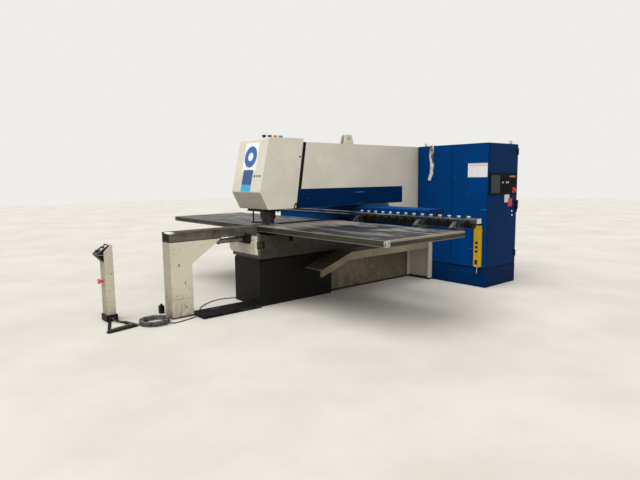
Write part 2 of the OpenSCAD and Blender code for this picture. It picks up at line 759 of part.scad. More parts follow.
// Cabinet: body open to the right, plinth, front panels and side door
cab_open_x = cab_x1 - door_t - seat;
body_y0 = cab_y0 + door_t;
module cabinet_body() {
    color(blue) {
        difference() {
            block([cab_x0, body_y0, plinth_h + seat], [cab_open_x, cab_y1, cab_h]);
            block([cab_x0 + cab_t, body_y0 + cab_t, plinth_h + cab_t + seat],
                [cab_open_x + 1, cab_y1 - cab_t, cab_h - cab_t]);
            // Pressed louvres in the rear wall
            for (i = [0 : 7], x = [cab_x0 + 160, cab_x0 + 700])
                block([x, cab_y1 - 1.5, cab_h - 330 + 26 * i], [x + 300, cab_y1 + 1, cab_h - 318 + 26 * i]);
        }
        // Inner flange round the door opening
        difference() {
            block([cab_open_x - 20, body_y0 + 1, plinth_h + 1], [cab_open_x, cab_y1 - 1, cab_h - 1]);
            block([cab_open_x - 21, body_y0 + 40, plinth_h + 40],
                [cab_open_x + 1, cab_y1 - 40, cab_h - 40]);
        }
        // Mounting plate with its switchgear
        block([cab_x0 + 60, body_y0 + 60, plinth_h + 60], [cab_x0 + 64, cab_y1 - 60, cab_h - 60]);
        for (z = [plinth_h + 80, cab_h - 110]) block([cab_x0 + 1, body_y0 + 100, z],
            [cab_x0 + 61, cab_y1 - 100, z + 20]);
        for (i = [0 : 3]) block([cab_x0 + 63, body_y0 + 110, plinth_h + 180 + 350 * i],
            [cab_x0 + 190, cab_y1 - 110, plinth_h + 400 + 350 * i]);
    }
}
module cabinet_plinth() {
    color(blue) difference() {
        block([cab_x0, cab_y0, 0], [cab_x1, cab_y1, plinth_h]);
        block([cab_x0 + 60, cab_y0 + 60, -1], [cab_x1 - 60, cab_y1 - 60, plinth_h - 6]);
    }
}
panel_split = 925;
module front_panel(x0, x1) {
    color(blue) {
        block([x0, cab_y0, plinth_h + 4], [x1, body_y0 - seat, cab_h - 6]);
    }
}
module front_panel_left() {
    front_panel(cab_x0 + 4, panel_split - 3);
}
module front_panel_right() {
    front_panel(panel_split + 3, cab_x1 - 4);
}
module cabinet_eyes() {
    color(grey) for (p = [[cab_x0 + 70, cab_y0 + 90], [cab_x1 - 70, cab_y1 - 90]])
        translate([p[0], p[1], cab_h]) {
            cylinder(h = 10, d = 36, $fn = 32);
            translate([0, 0, 29]) rotate([90, 0, 0])
                rotate_extrude($fn = 32) translate([18, 0]) circle(d = 11, $fn = 16);
        }
}
module cabinet_door() {
    color(blue) difference() {
        block([cab_x1 - door_t, body_y0 + 3, plinth_h + 4], [cab_x1, cab_y1 - 4, cab_h - 6]);
        block([cab_x1 - door_t - 1, body_y0 + 40, plinth_h + 50],
            [cab_x1 - 3, cab_y1 - 50, cab_h - 50]);
    }
}
// Control console in the door
stop_y = 3160;
stop_z = 1316;
con_y0 = 2560;
con_y1 = 3238;
con_z0 = 1262;
con_z1 = 1552;
module console() {
    color(black) {
        difference() {
            block([cab_x1 + seat / 3, con_y0, con_z0], [cab_x1 + 12, con_y1, con_z1]);
            // Screen recess
            block([cab_x1 + 8, con_y0 + 24, con_z0 + 24],
                [cab_x1 + 13, con_y0 + 250, con_z1 - 24]);
            bar_x(cab_x1 - 1, cab_x1 + 13, stop_y, stop_z, 22 + 2 * run);
        }
        // Keys in rows beside the screen
        for (r = [0 : 5], c = [0 : 7]) if (r > 2 || c < 5)
            block([cab_x1 + 11, con_y0 + 292 + 46 * c, con_z0 + 30 + 40 * r],
                [cab_x1 + 15, con_y0 + 324 + 46 * c, con_z0 + 58 + 40 * r]);
    }
}
module console_stop() {
    color("red") {
        bar_x(cab_x1 + 7, cab_x1 + 30, stop_y, stop_z, 22);
        bar_x(cab_x1 + 29, cab_x1 + 42, stop_y, stop_z, 42);
    }
}
handle_y = 3222;
handle_z = 1150;
module door_handle() {
    color(black) {
        bar_x(cab_x1 + seat / 3, cab_x1 + 26, handle_y, handle_z, 34, 32);
        across(cab_x1 + 25, cab_x1 + 45, rounded([[handle_y - 17, handle_z + 24],
            [handle_y + 17, handle_z + 24], [handle_y + 13, handle_z - 105],
            [handle_y - 13, handle_z - 105]], [12, 12, 10, 10]));
    }
}
// Light guard in its yellow housing on the cabinet's front
module light_guard() {
    x0 = cab_x1 - 149;
    z0 = plinth_h + 26;
    color("#e0a800") difference() {
        block([x0, cab_y0 - 70, z0], [x0 + guard_w, cab_y0 - seat, z0 + guard_h]);
        for (i = [0 : 4]) block([x0 + 21, cab_y0 - 71, z0 + 135 + 60 * i],
            [x0 + guard_w - 21, cab_y0 - 62, z0 + 170 + 60 * i]);
    }
    color(black) block([x0 + 7, cab_y0 - 64, z0 + guard_h - 1],
        [x0 + guard_w - 7, cab_y0 - seat, z0 + guard_h + 35]);
}

// Floor duct from the bridge leg to the base
duct_x0 = -30;
duct_x1 = 315;
module floor_duct() {
    color(grey) along(leg_rear + 6, -cover_front - seat,
        [[duct_x0, 0], [duct_x1, 0], [duct_x1 - 22, 28], [duct_x0 + 22, 28]]);
}

// Operator post with its slanted control box
post_stop_x = -380;
post_stop_z = 440;
post_x1 = post_x + post_w;
post_front = post_y - post_d;
module post() {
    color(beige) difference() {
        across(post_x, post_x1, [[post_front, 0], [post_y, 0], [post_y, post_h],
            [post_y - 30, post_h], [post_front, post_h - 66]]);
        across(post_x + 4, post_x1 - 4, [[post_front + 4, -1], [post_y - 4, -1],
            [post_y - 4, post_h - 186], [post_front + 4, post_h - 186]]);
        bar_y(post_stop_x, post_front - 1, post_front + 5, post_stop_z, 26 + 2 * run);
    }
}
button_x = [-345, -395];
box_lip = [post_front - 70, post_h - 84];
box_top = [post_y - 36, post_h + 8];
box_tilt = atan2(box_top[1] - box_lip[1], box_top[0] - box_lip[0]);
module on_panel(x) {
    translate([x, (box_lip[0] + box_top[0]) / 2, (box_lip[1] + box_top[1]) / 2])
        rotate([box_tilt, 0, 0]) children();
}
module post_box() {
    color(black) difference() {
        across(post_x, post_x1, [[post_front - seat, post_h - 176], [box_lip[0], box_lip[1] - 14],
            box_lip, box_top, [post_y - 34, post_h + 2], [post_y - 32, post_h + 0.4],
            [post_y - 30, post_h + seat], [post_front - seat, post_h - 66 + seat]]);
        for (x = button_x) on_panel(x) translate([0, 0, -18])
            cylinder(h = 20, d = 22 + 2 * run, $fn = 48);
    }
}
// Bar of the foot frame between two points on the floor
module floor_bar(a, b, w, h) {
    d = b - a;
    translate([a[0], a[1], 0]) rotate(atan2(d[1], d[0])) translate([0, -w / 2, 0])
        cube([norm(d), w, h]);
}
foot_near = [118, -2030];
foot_far = [62, -1740];
module post_foot() {
    color(black) {
        floor_bar([post_x1 + 8, post_front + 18], foot_near, 30, 12);
        floor_bar([post_x1 + 8, post_y - 18], foot_far, 30, 12);
        floor_bar(foot_near + [2, -16], foot_far + [-3, 16], 46, 12);
        difference() {
            block([post_x - 14, post_front - 14, 0], [post_x1 + 14, post_y + 14, 70]);
            block([post_x - seat, post_front - seat, -1], [post_x1 + seat, post_y + seat, 71]);
        }
    }
}
// Pedal plate on the foot frame's end
pedal_turn = atan2((foot_far - foot_near)[1], (foot_far - foot_near)[0]) - 90;
module foot_pedal() {
    color("#1f5a34") translate([foot_near[0], foot_near[1], 0]) rotate(pedal_turn) {
        across(-20, 20, [[10, 24], [10, 30], [270, 42], [270, 24]]);
        bar_x(-22, 22, 285, 19 + seat, 14);
        block([-16, 262, 17], [16, 284, 30]);
    }
}
module post_stop() {
    color("red") {
        bar_y(post_stop_x, post_front - 34, post_front + 2, post_stop_z, 26);
        bar_y(post_stop_x, post_front - 52, post_front - 33, post_stop_z, 56);
    }
}
module post_button() {
    color("white") on_panel(button_x[0]) translate([0, 0, -10]) cylinder(h = 18, d = 22, $fn = 48);
}
module post_button_blue() {
    color(blue) on_panel(button_x[1]) translate([0, 0, -10]) cylinder(h = 18, d = 22, $fn = 48);
}
// Small cable box behind the bridge leg
module cable_box() {
    color(black) block([-158, leg_rear - 120, 0], [-bridge_hw - seat, leg_rear - 50, 108]);
}

// Cables: each tube is swept along its own points
lead_route = [[-295, -1862, 40], [-275, -1862, 39], [-240, -1856, 26], [-200, -1842, 12],
    [-165, -1818, 19], [-118, -1782, 23], [-60, -1738, 12], [-10, -1708, 6.5], [40, -1700, 6.5],
    [80, -1699, 6.5]];
run_route = [[239, -1540, 43], [241, -1500, 38], [242, -1450, 20], [239, -1400, 8],
    [234, -1340, 6], [222, -1280, 6], [205, -1220, 6], [187, -1165, 6], [172, -1115, 8],
    [165, -1078, 12]];
side_route = [[-14, -952, 10], [-70, -935, 6], [-130, -905, 6], [-200, -850, 6],
    [-270, -770, 6], [-325, -690, 6], [-365, -610, 6], [-385, -520, 6], [-380, -430, 6],
    [-350, -350, 6], [-310, -292, 16], [-273, -285, 22]];
// Points between the chosen ones, on a smooth curve
function spline(p, i, t) = let(k = len(p), a = p[max(i - 1, 0)], b = p[i], c = p[i + 1],
    d = p[min(i + 2, k - 1)])
    0.5 * (2 * b + (c - a) * t + (2 * a - 5 * b + 4 * c - d) * t * t
        + (3 * b - a - 3 * c + d) * t * t * t);
function smooth(p, n) = [for (i = [0 : len(p) - 2], j = [0 : n - 1]) spline(p, i, j / n),
    p[len(p) - 1]];
module tube(route, d, sides = 8) {
    p = smooth(route, 3);
    k = len(p);
    rings = [for (i = [0 : k - 1]) let(t = unit(p[min(i + 1, k - 1)] - p[max(i - 1, 0)]),
        u = unit(cross(t, [0, 0, 1])), v = cross(u, t))
        for (s = [0 : sides - 1]) p[i] + d / 2 * (u * cos(360 * s / sides)
            + v * sin(360 * s / sides))];
    polyhedron(rings, concat(
        [[for (s = [0 : sides - 1]) s]],
        [for (i = [0 : k - 2], s = [0 : sides - 1]) let(a = i * sides + s,
            b = i * sides + (s + 1) % sides) [a, a + sides, b + sides, b]],
        [[for (s = [sides - 1 : -1 : 0]) (k - 1) * sides + s]]));
}
module cable_lead() {
    color(black) tube(lead_route, cable_d);
}
module cable_run() {
    color(black) tube(run_route, cable_d);
}
module side_cable() {
    color(black) tube(side_route, cable_d);
}
coil_r = 140;
coil_half = 26;
module cable_coil() {
    color(black) translate([80, -1540, coil_half]) rotate_extrude($fn = 48)
        translate([coil_r, 0]) circle(r = coil_half, $fn = 16);
}

c_frame();
base_frame();
front_cover();
nose_casting();
bridge_beam();
bridge_leg();
bridge_tie();
side_panel_right();
side_panel_left();
hood_seal();
lifting_lug();
die_block();
center_strip();
y_rails();
head_plate();
ram_cylinder();
turning_drive();
cabinet_body();
cabinet_plinth();
front_panel_left();
front_panel_right();
cabinet_eyes();
light_guard();
floor_duct();
post();
post_box();
post_foot();
cable_box();
cable_lead();
cable_coil();
cable_run();
side_cable();
cross_beam();
table_left();
table_right();
table_arms();
y_runners();
x_guides();
x_rail();
station_knobs();
tool_cassettes();
clamp_bodies();
clamp_jaw_1();
clamp_jaw_2();
clamp_jaw_3();
hood();
hood_lock();
hood_caps();
ram();
tool_holder();
die_holder();
stripper();
cabinet_door();
console();
door_handle();
console_stop();
foot_pedal();
post_stop();
post_button();
post_button_blue();
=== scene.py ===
# %% [markdown]
# # A sheet punching machine, dressed for the camera
# The real machine is a C-shaped steel frame, open at the front, with a hood over its head, a table
# that slides through its throat, and a rail of clamps and tool cassettes behind. Its solids come
# from the CAD frame, in metres, with the origin on the floor under the punch. They could be
# modelled again here, but joints and sizes would drift from the CAD, so this lesson only adds what
# they lack: paint, wear, cables and fittings.

# %% Load the frame
import json
import math

import bmesh
import bpy
from mathutils import Matrix, Vector


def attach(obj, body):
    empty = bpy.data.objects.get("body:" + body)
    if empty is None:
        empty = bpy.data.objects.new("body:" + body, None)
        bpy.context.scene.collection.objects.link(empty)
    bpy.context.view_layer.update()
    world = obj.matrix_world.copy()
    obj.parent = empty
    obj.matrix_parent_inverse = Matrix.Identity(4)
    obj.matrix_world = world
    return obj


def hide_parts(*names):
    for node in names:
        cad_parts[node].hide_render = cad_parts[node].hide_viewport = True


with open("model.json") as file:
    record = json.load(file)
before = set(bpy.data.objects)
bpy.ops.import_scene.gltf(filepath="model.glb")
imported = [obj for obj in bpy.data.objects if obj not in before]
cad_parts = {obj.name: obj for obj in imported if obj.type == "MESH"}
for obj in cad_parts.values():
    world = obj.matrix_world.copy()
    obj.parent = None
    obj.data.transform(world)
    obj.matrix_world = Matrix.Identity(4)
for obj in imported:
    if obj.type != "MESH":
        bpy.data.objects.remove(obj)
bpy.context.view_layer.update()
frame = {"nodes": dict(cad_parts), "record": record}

# %% [markdown]
# ## The camera
# The picture was taken at head height, from the right and in front of the machine, with a short
# lens. A constraint could aim the camera at a point, but it would keep it level. Built from its own
# three angles, the camera keeps the small roll of a hand-held picture.

# %% Place the camera
yaw, pitch, roll = (math.radians(a) for a in (49.775, -6.979, -0.626))
ahead = Vector((-math.sin(yaw) * math.cos(pitch), math.cos(yaw) * math.cos(pitch), math.sin(pitch)))
level = Vector((math.cos(yaw), math.sin(yaw), 0))
upward = level.cross(ahead)
right = math.cos(roll) * level + math.sin(roll) * upward
above = math.cos(roll) * upward - math.sin(roll) * level
EYE_PLACE, EYE_LENS, SENSOR_WIDTH = (5.3, -3.6375, 1.5266), 28.92, 36


def placed(name, data):
    """A new object in the scene that shows the data."""
    made = bpy.data.objects.new(name, data)
    bpy.context.scene.collection.objects.link(made)
    return made


eye = placed("eye", bpy.data.cameras.new("eye"))
eye.data.sensor_width, eye.data.lens = SENSOR_WIDTH, EYE_LENS
eye.matrix_world = Matrix.Translation(EYE_PLACE) @ Matrix((right, above, -ahead)).transposed().to_4x4()
bpy.context.scene.camera = eye
print("camera at", [round(v, 3) for v in eye.location])

# %% [markdown]
# ## Arithmetic for shaders
# Dirt and wear follow from place, facing and corners. In Blender such a rule is a network of Math
# nodes, which could be drawn by hand. Wrapping each socket in a class with the usual operators is
# shorter: an expression adds its own nodes and reads like a sum.

# %% Wrap a socket
class Field:
    """A value that changes over the surface, with the usual operators."""

    def __init__(self, owner, socket):
        self.owner, self.socket = owner, socket

    def math(self, operation, *values):
        return self.owner.node("Math", {"operation": operation}, dict(enumerate(values)))

    def __add__(self, other):
        return self.math("ADD", self, other)

    def __sub__(self, other):
        return self.math("SUBTRACT", self, other)

    def __rsub__(self, other):
        return self.math("SUBTRACT", other, self)

    def __mul__(self, other):
        return self.math("MULTIPLY", self, other)

    __radd__, __rmul__ = __add__, __mul__

    def __abs__(self):
        return self.math("ABSOLUTE", self)

    def most(self, other):
        return self.math("MAXIMUM", self, other)

    def rise(self, low, high):
        """0 below low, 1 above high and straight between them."""
        return self.owner.node("MapRange", {}, {0: self, 1: low, 2: high})

    def band(self, low, high):
        """0 below low, 1 above high and smooth between them; low may be the larger."""
        return self.owner.node("MapRange", {"interpolation_type": "SMOOTHSTEP"},
                               {0: self, 1: low, 2: high, 3: 0.0, 4: 1.0})


print("a field has + - * and abs")

# %% [markdown]
# ## One way to add a node
# Every other node has a type, settings, and sockets with values or links. One method that takes
# them in that order makes them all, for a material as well as for the sky.

# %% Add nodes
class Nodes:
    """A node tree with its one method for adding a node."""

    def __init__(self, tree):
        self.tree = tree

    def node(self, kind, settings={}, inputs={}, out=0):
        """Adds a node: its settings first, then the values or links of its sockets."""
        made = self.tree.nodes.new("ShaderNode" + kind)
        for key, value in settings.items():
            setattr(made, key, value)
        for key, value in inputs.items():
            if isinstance(value, Field):
                self.tree.links.new(value.socket, made.inputs[key])
            else:
                made.inputs[key].default_value = value
        return Field(self, made.outputs[out])

    def beside(self, field, out):
        """Another output of the node that a field comes from."""
        return Field(self, field.socket.node.outputs[out])


print("node helper ready")

# %% [markdown]
# ## A finish
# Paint, steel and rubber are one shader with different values, so a finish is a class round one
# Principled shader. Its methods give the masks that finishes share: place, facing, soft noise, worn
# corners and sheltered corners. Image textures could hold these, but they need unwrapped meshes,
# while masks work on the CAD solids as they come.

# %% One class for a finish
class Finish(Nodes):
    """A material with one Principled shader and the nodes that feed it."""

    def __init__(self, name, **constants):
        self.material = bpy.data.materials.new(name)
        self.material.use_nodes = True
        super().__init__(self.material.node_tree)
        self.shader = self.tree.nodes["Principled BSDF"]
        for socket, value in constants.items():
            self.feed(socket.replace("_", " "), value)
        self.spot = self.node("TexCoord", out="Object")
        self.split = self.node("SeparateXYZ", {}, {0: self.spot})
        self.facing = None

    def feed(self, socket, value):
        """Links a field to one of the shader's sockets, or sets a constant there."""
        if isinstance(value, Field):
            self.tree.links.new(value.socket, self.shader.inputs[socket])
        else:
            self.shader.inputs[socket].default_value = value

    def axis(self, letter):
        """The place along x, y or z in metres."""
        return self.beside(self.split, "xyz".index(letter))

    def towards(self, letter):
        """How far the surface faces along x, y or z, from -1 to 1."""
        if self.facing is None:
            normal = self.node("NewGeometry", out="Normal")
            self.facing = self.node("SeparateXYZ", {}, {0: normal})
        return self.beside(self.facing, "xyz".index(letter))

    def cloud(self, scale, detail=4.0, rough=0.55, stretch=(1, 1, 1), shift=(0, 0, 0), warp=0.0):
        """Soft noise from 0 to 1; a small stretch makes it long in that direction."""
        where = self.node("Mapping", {}, {"Vector": self.spot, "Scale": stretch, "Location": shift})
        return self.node("TexNoise", {}, {"Vector": where, "Scale": scale, "Detail": detail,
                                                    "Roughness": rough, "Distortion": warp})

    def mix(self, under, over, mask):
        """One colour over another where the mask is 1; a colour is a field or three numbers."""
        under, over = (c if isinstance(c, Field) else (*c, 1.0) for c in (under, over))
        return self.node("Mix", {"data_type": "RGBA"}, {0: mask, 6: under, 7: over}, out=2)

    def corners(self, radius):
        """1 on edges within a radius, from the difference that rounding makes."""
        soft = self.node("Bevel", {"samples": 4}, {"Radius": radius})
        true = self.node("NewGeometry", out="Normal")
        same = self.node("VectorMath", {"operation": "DOT_PRODUCT"}, {0: soft, 1: true}, out="Value")
        return same.band(0.995, 0.8)

    def shelter(self, reach):
        """1 deep in a corner and 0 in the open: where dirt stays or is wiped off, and where painted shade falls."""
        return 1 - self.node("AmbientOcclusion", {"samples": 4}, {"Distance": reach}, out="AO")

    def paint(self, colour, rough=None, relief=None, depth=0.001, metal=None):
        """Feeds the finished fields to the shader and gives back the material."""
        for socket, value in (("Base Color", colour), ("Roughness", rough), ("Metallic", metal)):
            if value is not None:
                self.feed(socket, value)
        if relief is not None:
            self.feed("Normal", self.node("Bump", {},
                                          {"Height": relief, "Distance": depth, "Strength": 1.0}))
        return self.material


def scaled(colour, factor):
    """The same colour, darker or lighter."""
    return tuple(min(1.0, factor * c) for c in colour)


print("shader helpers ready")

# %% [markdown]
# ## Shapes for small hardware
# Bolts, plates and knobs are turned, cut from sheet or folded. Blender's own cubes and cylinders
# could stand in, but they would look like just that. Here each shape is a closed outline or
# profile, so its steps and chamfers are real.

# %% Blocks and turned shapes
def slab(low, high):
    """The corners and faces of a block between two corners."""
    (a, b, c), (d, e, f) = low, high
    points = [(a, b, c), (d, b, c), (d, e, c), (a, e, c), (a, b, f), (d, b, f), (d, e, f), (a, e, f)]
    return points, [(3, 2, 1, 0), (4, 5, 6, 7), (0, 1, 5, 4), (1, 2, 6, 5), (2, 3, 7, 6), (3, 0, 4, 7)]


def polar(centre, axis, along, radius, angle):
    """A point some way along an axis, at a radius from it and an angle round it."""
    axis = Vector(axis).normalized()
    side = axis.orthogonal().normalized()
    out = math.cos(angle) * side + math.sin(angle) * axis.cross(side)
    return Vector(centre) + along * axis + radius * out


def turned(centre, axis, profile, sides=24):
    """A closed solid of rings: profile lists (distance along the axis, radius)."""
    points = [polar(centre, axis, along, radius, 2 * math.pi * i / sides)
              for along, radius in profile for i in range(sides)]
    faces = []
    for r in range(len(profile) - 1):
        for i in range(sides):
            j = (i + 1) % sides
            faces.append((r * sides + i, r * sides + j, (r + 1) * sides + j, (r + 1) * sides + i))
    faces.append(tuple(reversed(range(sides))))
    faces.append(tuple(range((len(profile) - 1) * sides, len(profile) * sides)))
    return points, faces


def ring(centre, axis, loop, sides=32):
    """A closed ring: loop lists (distance along the axis, radius) round its section."""
    n = len(loop)
    points = [polar(centre, axis, along, radius, 2 * math.pi * i / sides)
              for i in range(sides) for along, radius in loop]
    faces = []
    for i in range(sides):
        j = (i + 1) % sides
        faces += [(i * n + k, i * n + (k + 1) % n, j * n + (k + 1) % n, j * n + k) for k in range(n)]
    return points, faces


print("a turned shape of two rings has", len(turned((0, 0, 0), (0, 0, 1), [(0, 1), (1, 1)])[1]), "faces")

# %% Screw and bolt heads
def screw(centre, axis, radius, height, sides=16):
    """A cap screw with a socket in its head."""
    return turned(centre, axis, [(0, radius), (0.75 * height, radius), (height, 0.82 * radius), (height, 0.45 * radius),
                                 (0.4 * height, 0.4 * radius)], sides)


def hexagon(centre, axis, radius, height):
    """A hexagon head on its washer, as two shapes."""
    return [turned(centre, axis, [(0, 1.5 * radius), (0.2 * height, 1.5 * radius)], 20),
            turned(centre, axis, [(0.2 * height, radius), (0.9 * height, radius), (height, 0.85 * radius)], 6)]


print("screw points:", len(screw((0, 0, 0), (0, 0, 1), 1, 1)[0]))

# %% Outlines and cut sheet
def sheet_cut(outline, origin, across, up, thick):
    """A flat plate: its outline in two directions of a plane, with a thickness along their cross."""
    origin, across, up = Vector(origin), Vector(across).normalized(), Vector(up).normalized()
    normal = across.cross(up)
    n = len(outline)
    points = [origin + x * across + y * up + t * normal for t in (0.0, thick) for x, y in outline]
    faces = [tuple(reversed(range(n))), tuple(range(n, 2 * n))]
    faces += [(i, (i + 1) % n, n + (i + 1) % n, n + i) for i in range(n)]
    return points, faces


def disc(radius, sides):
    """A round outline."""
    return [(radius * math.cos(2 * math.pi * i / sides), radius * math.sin(2 * math.pi * i / sides))
            for i in range(sides)]


def oblong(width, height, corner):
    """A rectangle round the origin with rounded corners, four steps to each."""
    made = []
    for cx, cy, start in ((1, 1, 0), (-1, 1, 90), (-1, -1, 180), (1, -1, 270)):
        for step in range(5):
            a = math.radians(start + 22.5 * step)
            made.append((cx * (width / 2 - corner) + corner * math.cos(a),
                         cy * (height / 2 - corner) + corner * math.sin(a)))
    return made


print("oblong points:", len(oblong(2, 1, 0.1)))

# %% [markdown]
# ## From shapes to a piece
# A row of screws is one mesh here, joined from its shapes. The narrow bevel that catches the light
# on every sharp corner could be cut into the mesh, but a modifier keeps the outline easy to change.
# The piece then rides on its body, so that it moves with it.

# %% Build a piece
finishes = {}


def build(name, shapes, body, finish, bevel=0.0003, segments=1, slot=None):
    """Joins shapes in one mesh. A finish is a material, or the name of one in finishes. The slot argument is not used.
    """
    if isinstance(finish, str):
        finish, slot = finishes[finish], finish
    points, faces = [], []
    for p, f in shapes:
        faces += [tuple(len(points) + i for i in face) for face in f]
        points += [tuple(v) for v in p]
    mesh = bpy.data.meshes.new(name)
    mesh.from_pydata(points, [], faces)
    mesh.materials.append(finish)
    work = bmesh.new()
    work.from_mesh(mesh)
    bmesh.ops.recalc_face_normals(work, faces=work.faces)
    work.to_mesh(mesh)
    work.free()
    piece = placed(name, mesh)
    if bevel:
        edges = piece.modifiers.new("edges", "BEVEL")
        edges.width, edges.segments, edges.limit_method = bevel, segments, "ANGLE"
    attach(piece, body)


print("pieces can be built")

# %% [markdown]
# ## Light
# Light comes from above, so tops and leaning fronts are bright and undersides are dim. Area lights
# could do this for one view, but they would leave other sides uneven. Two wide suns and an even sky
# serve every angle.

# %% Two suns
def sun(name, towards_light, strength, width):
    lamp = bpy.data.lights.new(name, "SUN")
    lamp.energy, lamp.angle = strength, math.radians(width)
    holder = placed(name, lamp)
    holder.rotation_mode = "QUATERNION"
    holder.rotation_quaternion = Vector(towards_light).to_track_quat("Z", "Y")


sun("wide_sun_front", (-0.12, -0.42, 0.9), 2.05, 50)
sun("wide_sun_side", (0.75, -0.2, 0.62), 1.3, 60)
print("suns:", len(bpy.data.lights))

# %% [markdown]
# ## Sky
# The background is bright and even, while the machine's shaded sides get less light than that. One
# sky does both: brighter for rays straight from the camera or by way of a mirror or glass, and
# dimmer for the light on the paint.

# %% The sky's two strengths
LIGHT_ON_PAINT, LIGHT_SEEN = 0.44, 0.86
bpy.context.scene.world = bpy.data.worlds.new("sky")
bpy.context.scene.world.use_nodes = True
sky = Nodes(bpy.context.scene.world.node_tree)
camera_ray = sky.node("LightPath", out="Is Camera Ray")
seen = camera_ray
for other_ray in ("Is Glossy Ray", "Is Transmission Ray"):
    seen = sky.node("Math", {"operation": "ADD", "use_clamp": True},
                    {0: seen, 1: sky.beside(camera_ray, other_ray)})
strength = sky.node("MapRange", {}, {0: seen, 3: LIGHT_ON_PAINT, 4: LIGHT_SEEN})
backdrop = sky.tree.nodes["Background"]
backdrop.inputs["Color"].default_value = (1.0, 0.985, 0.955, 1.0)
sky.tree.links.new(strength.socket, backdrop.inputs["Strength"])
bpy.context.scene.view_settings.view_transform = "Standard"
print("sky strengths:", LIGHT_ON_PAINT, LIGHT_SEEN)

# %% [markdown]
# ## Floor
# The machine stands on a plain pale floor. A square just under it is enough, with a soft cloud in
# its colour so that the shadows have something to lie on.

# %% Lay the floor
FLOOR_REACH, FLOOR_DROP = 30, -0.0015
floor_paint = Finish("floor_concrete", Roughness=0.75)
haze = floor_paint.cloud(0.8, 5, 0.6)
floor_mesh = bpy.data.meshes.new("floor")
floor_mesh.from_pydata([(x * FLOOR_REACH, y * FLOOR_REACH, FLOOR_DROP)
                        for x, y in ((-1, -1), (1, -1), (1, 1), (-1, 1))],
                       [], [(0, 1, 2, 3)])
floor_mesh.materials.append(floor_paint.paint(floor_paint.mix((0.6, 0.57, 0.51), (0.68, 0.65, 0.59),
                                                              haze.band(0.3, 0.7))))
floor = placed("floor", floor_mesh)
print("floor side:", 2 * FLOOR_REACH, "m")

# %% [markdown]
# ## Cables
# The pedestal's cable leaves the foot, winds into a coil beside the leg and goes into the duct.
# Tubes could be put end to end, as the solids are, but the joins would show. So each cable is one
# curve with a round bevel, through the points of the CAD tubes.

# %% Smooth routes
MM = 0.001


def smooth(points, steps):
    """Extra points between the chosen ones, on the same curve that the CAD tubes follow."""
    points = [Vector(p) for p in points]
    made = []
    for i in range(len(points) - 1):
        a, b, c, d = points[max(i - 1, 0)], points[i], points[i + 1], points[min(i + 2, len(points) - 1)]
        for j in range(steps):
            t = j / steps
            made.append(0.5 * (2 * b + (c - a) * t + (2 * a - 5 * b + 4 * c - d) * t * t
                               + (3 * b - a - 3 * c + d) * t ** 3))
    return made + [points[-1]]


def route(*points):
    """A smooth route through points in millimetres."""
    return smooth([[c * MM for c in p] for p in points], 8)


lead = route((-295, -1862, 40), (-275, -1862, 39), (-240, -1856, 26), (-200, -1842, 12), (-165, -1818, 19),
             (-118, -1782, 23), (-60, -1738, 12), (-10, -1708, 6.5), (40, -1700, 6.5), (80, -1699, 6.5))
run = route((239, -1540, 43), (241, -1500, 38), (242, -1450, 20), (239, -1400, 8), (234, -1340, 6), (222, -1280, 6),
            (205, -1220, 6), (187, -1165, 6), (172, -1115, 8), (165, -1078, 12))
side_run = route((-14, -952, 10), (-70, -935, 6), (-130, -905, 6), (-200, -850, 6), (-270, -770, 6), (-325, -690, 6),
                 (-365, -610, 6), (-385, -520, 6), (-380, -430, 6), (-350, -350, 6), (-310, -292, 16), (-273, -285, 22))
print("route points:", len(lead), len(run), len(side_run))

# %% [markdown]
# ## The coil
# Spare cable lies in a coil of several layers. A screw modifier could wind a spiral, but it can't
# turn back outwards. So the layers are worked out turn by turn: in, out again, and up by one
# diameter at each turning point, so that no strand cuts another.

# %% Wind the coil
COIL_X, COIL_Y = 0.08, -1.54
COIL_INNER, COIL_OUTER, COIL_PITCH = 0.12, 0.159, 0.013
COIL_LAYERS, COIL_FIRST_Z, COIL_STEP = 4, 0.0065, 0.0122
POINTS_PER_TURN = 20


def winding(start_angle):
    """The coil's points, layer by layer, from its outer strand on the floor."""
    turns = (COIL_OUTER - COIL_INNER) / COIL_PITCH
    made = []
    for k in range(int(turns * COIL_LAYERS * POINTS_PER_TURN) + 1):
        t = k / POINTS_PER_TURN
        layer = min(int(t / turns), COIL_LAYERS - 1)
        part = t - layer * turns
        r = COIL_INNER + COIL_PITCH * part if layer % 2 else COIL_OUTER - COIL_PITCH * part
        lift = min(part / 0.16, 1.0)
        lift = lift * lift * (3 - 2 * lift)
        z = COIL_FIRST_Z + COIL_STEP * (layer - 1 + lift) if layer else COIL_FIRST_Z
        a = start_angle + 2 * math.pi * t
        made.append(Vector((COIL_X + r * math.cos(a), COIL_Y + r * math.sin(a), z)))
    return made


coil = winding(-math.pi / 2)
top_z = COIL_FIRST_Z + (COIL_LAYERS - 1) * COIL_STEP
last_quarter = [Vector((COIL_X + COIL_OUTER * math.cos(a), COIL_Y + COIL_OUTER * math.sin(a), top_z))
                for a in (math.radians(9 * k - 90) for k in range(1, 10))]
print("coil turns:", len(coil) / POINTS_PER_TURN)

# %% [markdown]
# ## The cables' sheath
# The sheath is black rubber, scuffed grey where shoes tread on it. A plain dark grey would look
# new, so the grey comes in patches and changes the shine too.

# %% Rubber of the cables
sheath = Finish("cable_sheath_worn", Roughness=0.55)
scuff = sheath.cloud(30, 5, 0.7)
sheath_tone = sheath.mix((0.014, 0.014, 0.015), (0.24, 0.235, 0.21), scuff.band(0.42, 0.66) * 0.75)
sheath_black = sheath.paint(sheath_tone, 0.42 + 0.3 * scuff, sheath.cloud(160, 3), 0.0004)
print("sheath nodes:", len(sheath.tree.nodes))

# %% Lay the cables
CABLE_WIDTH = 0.012


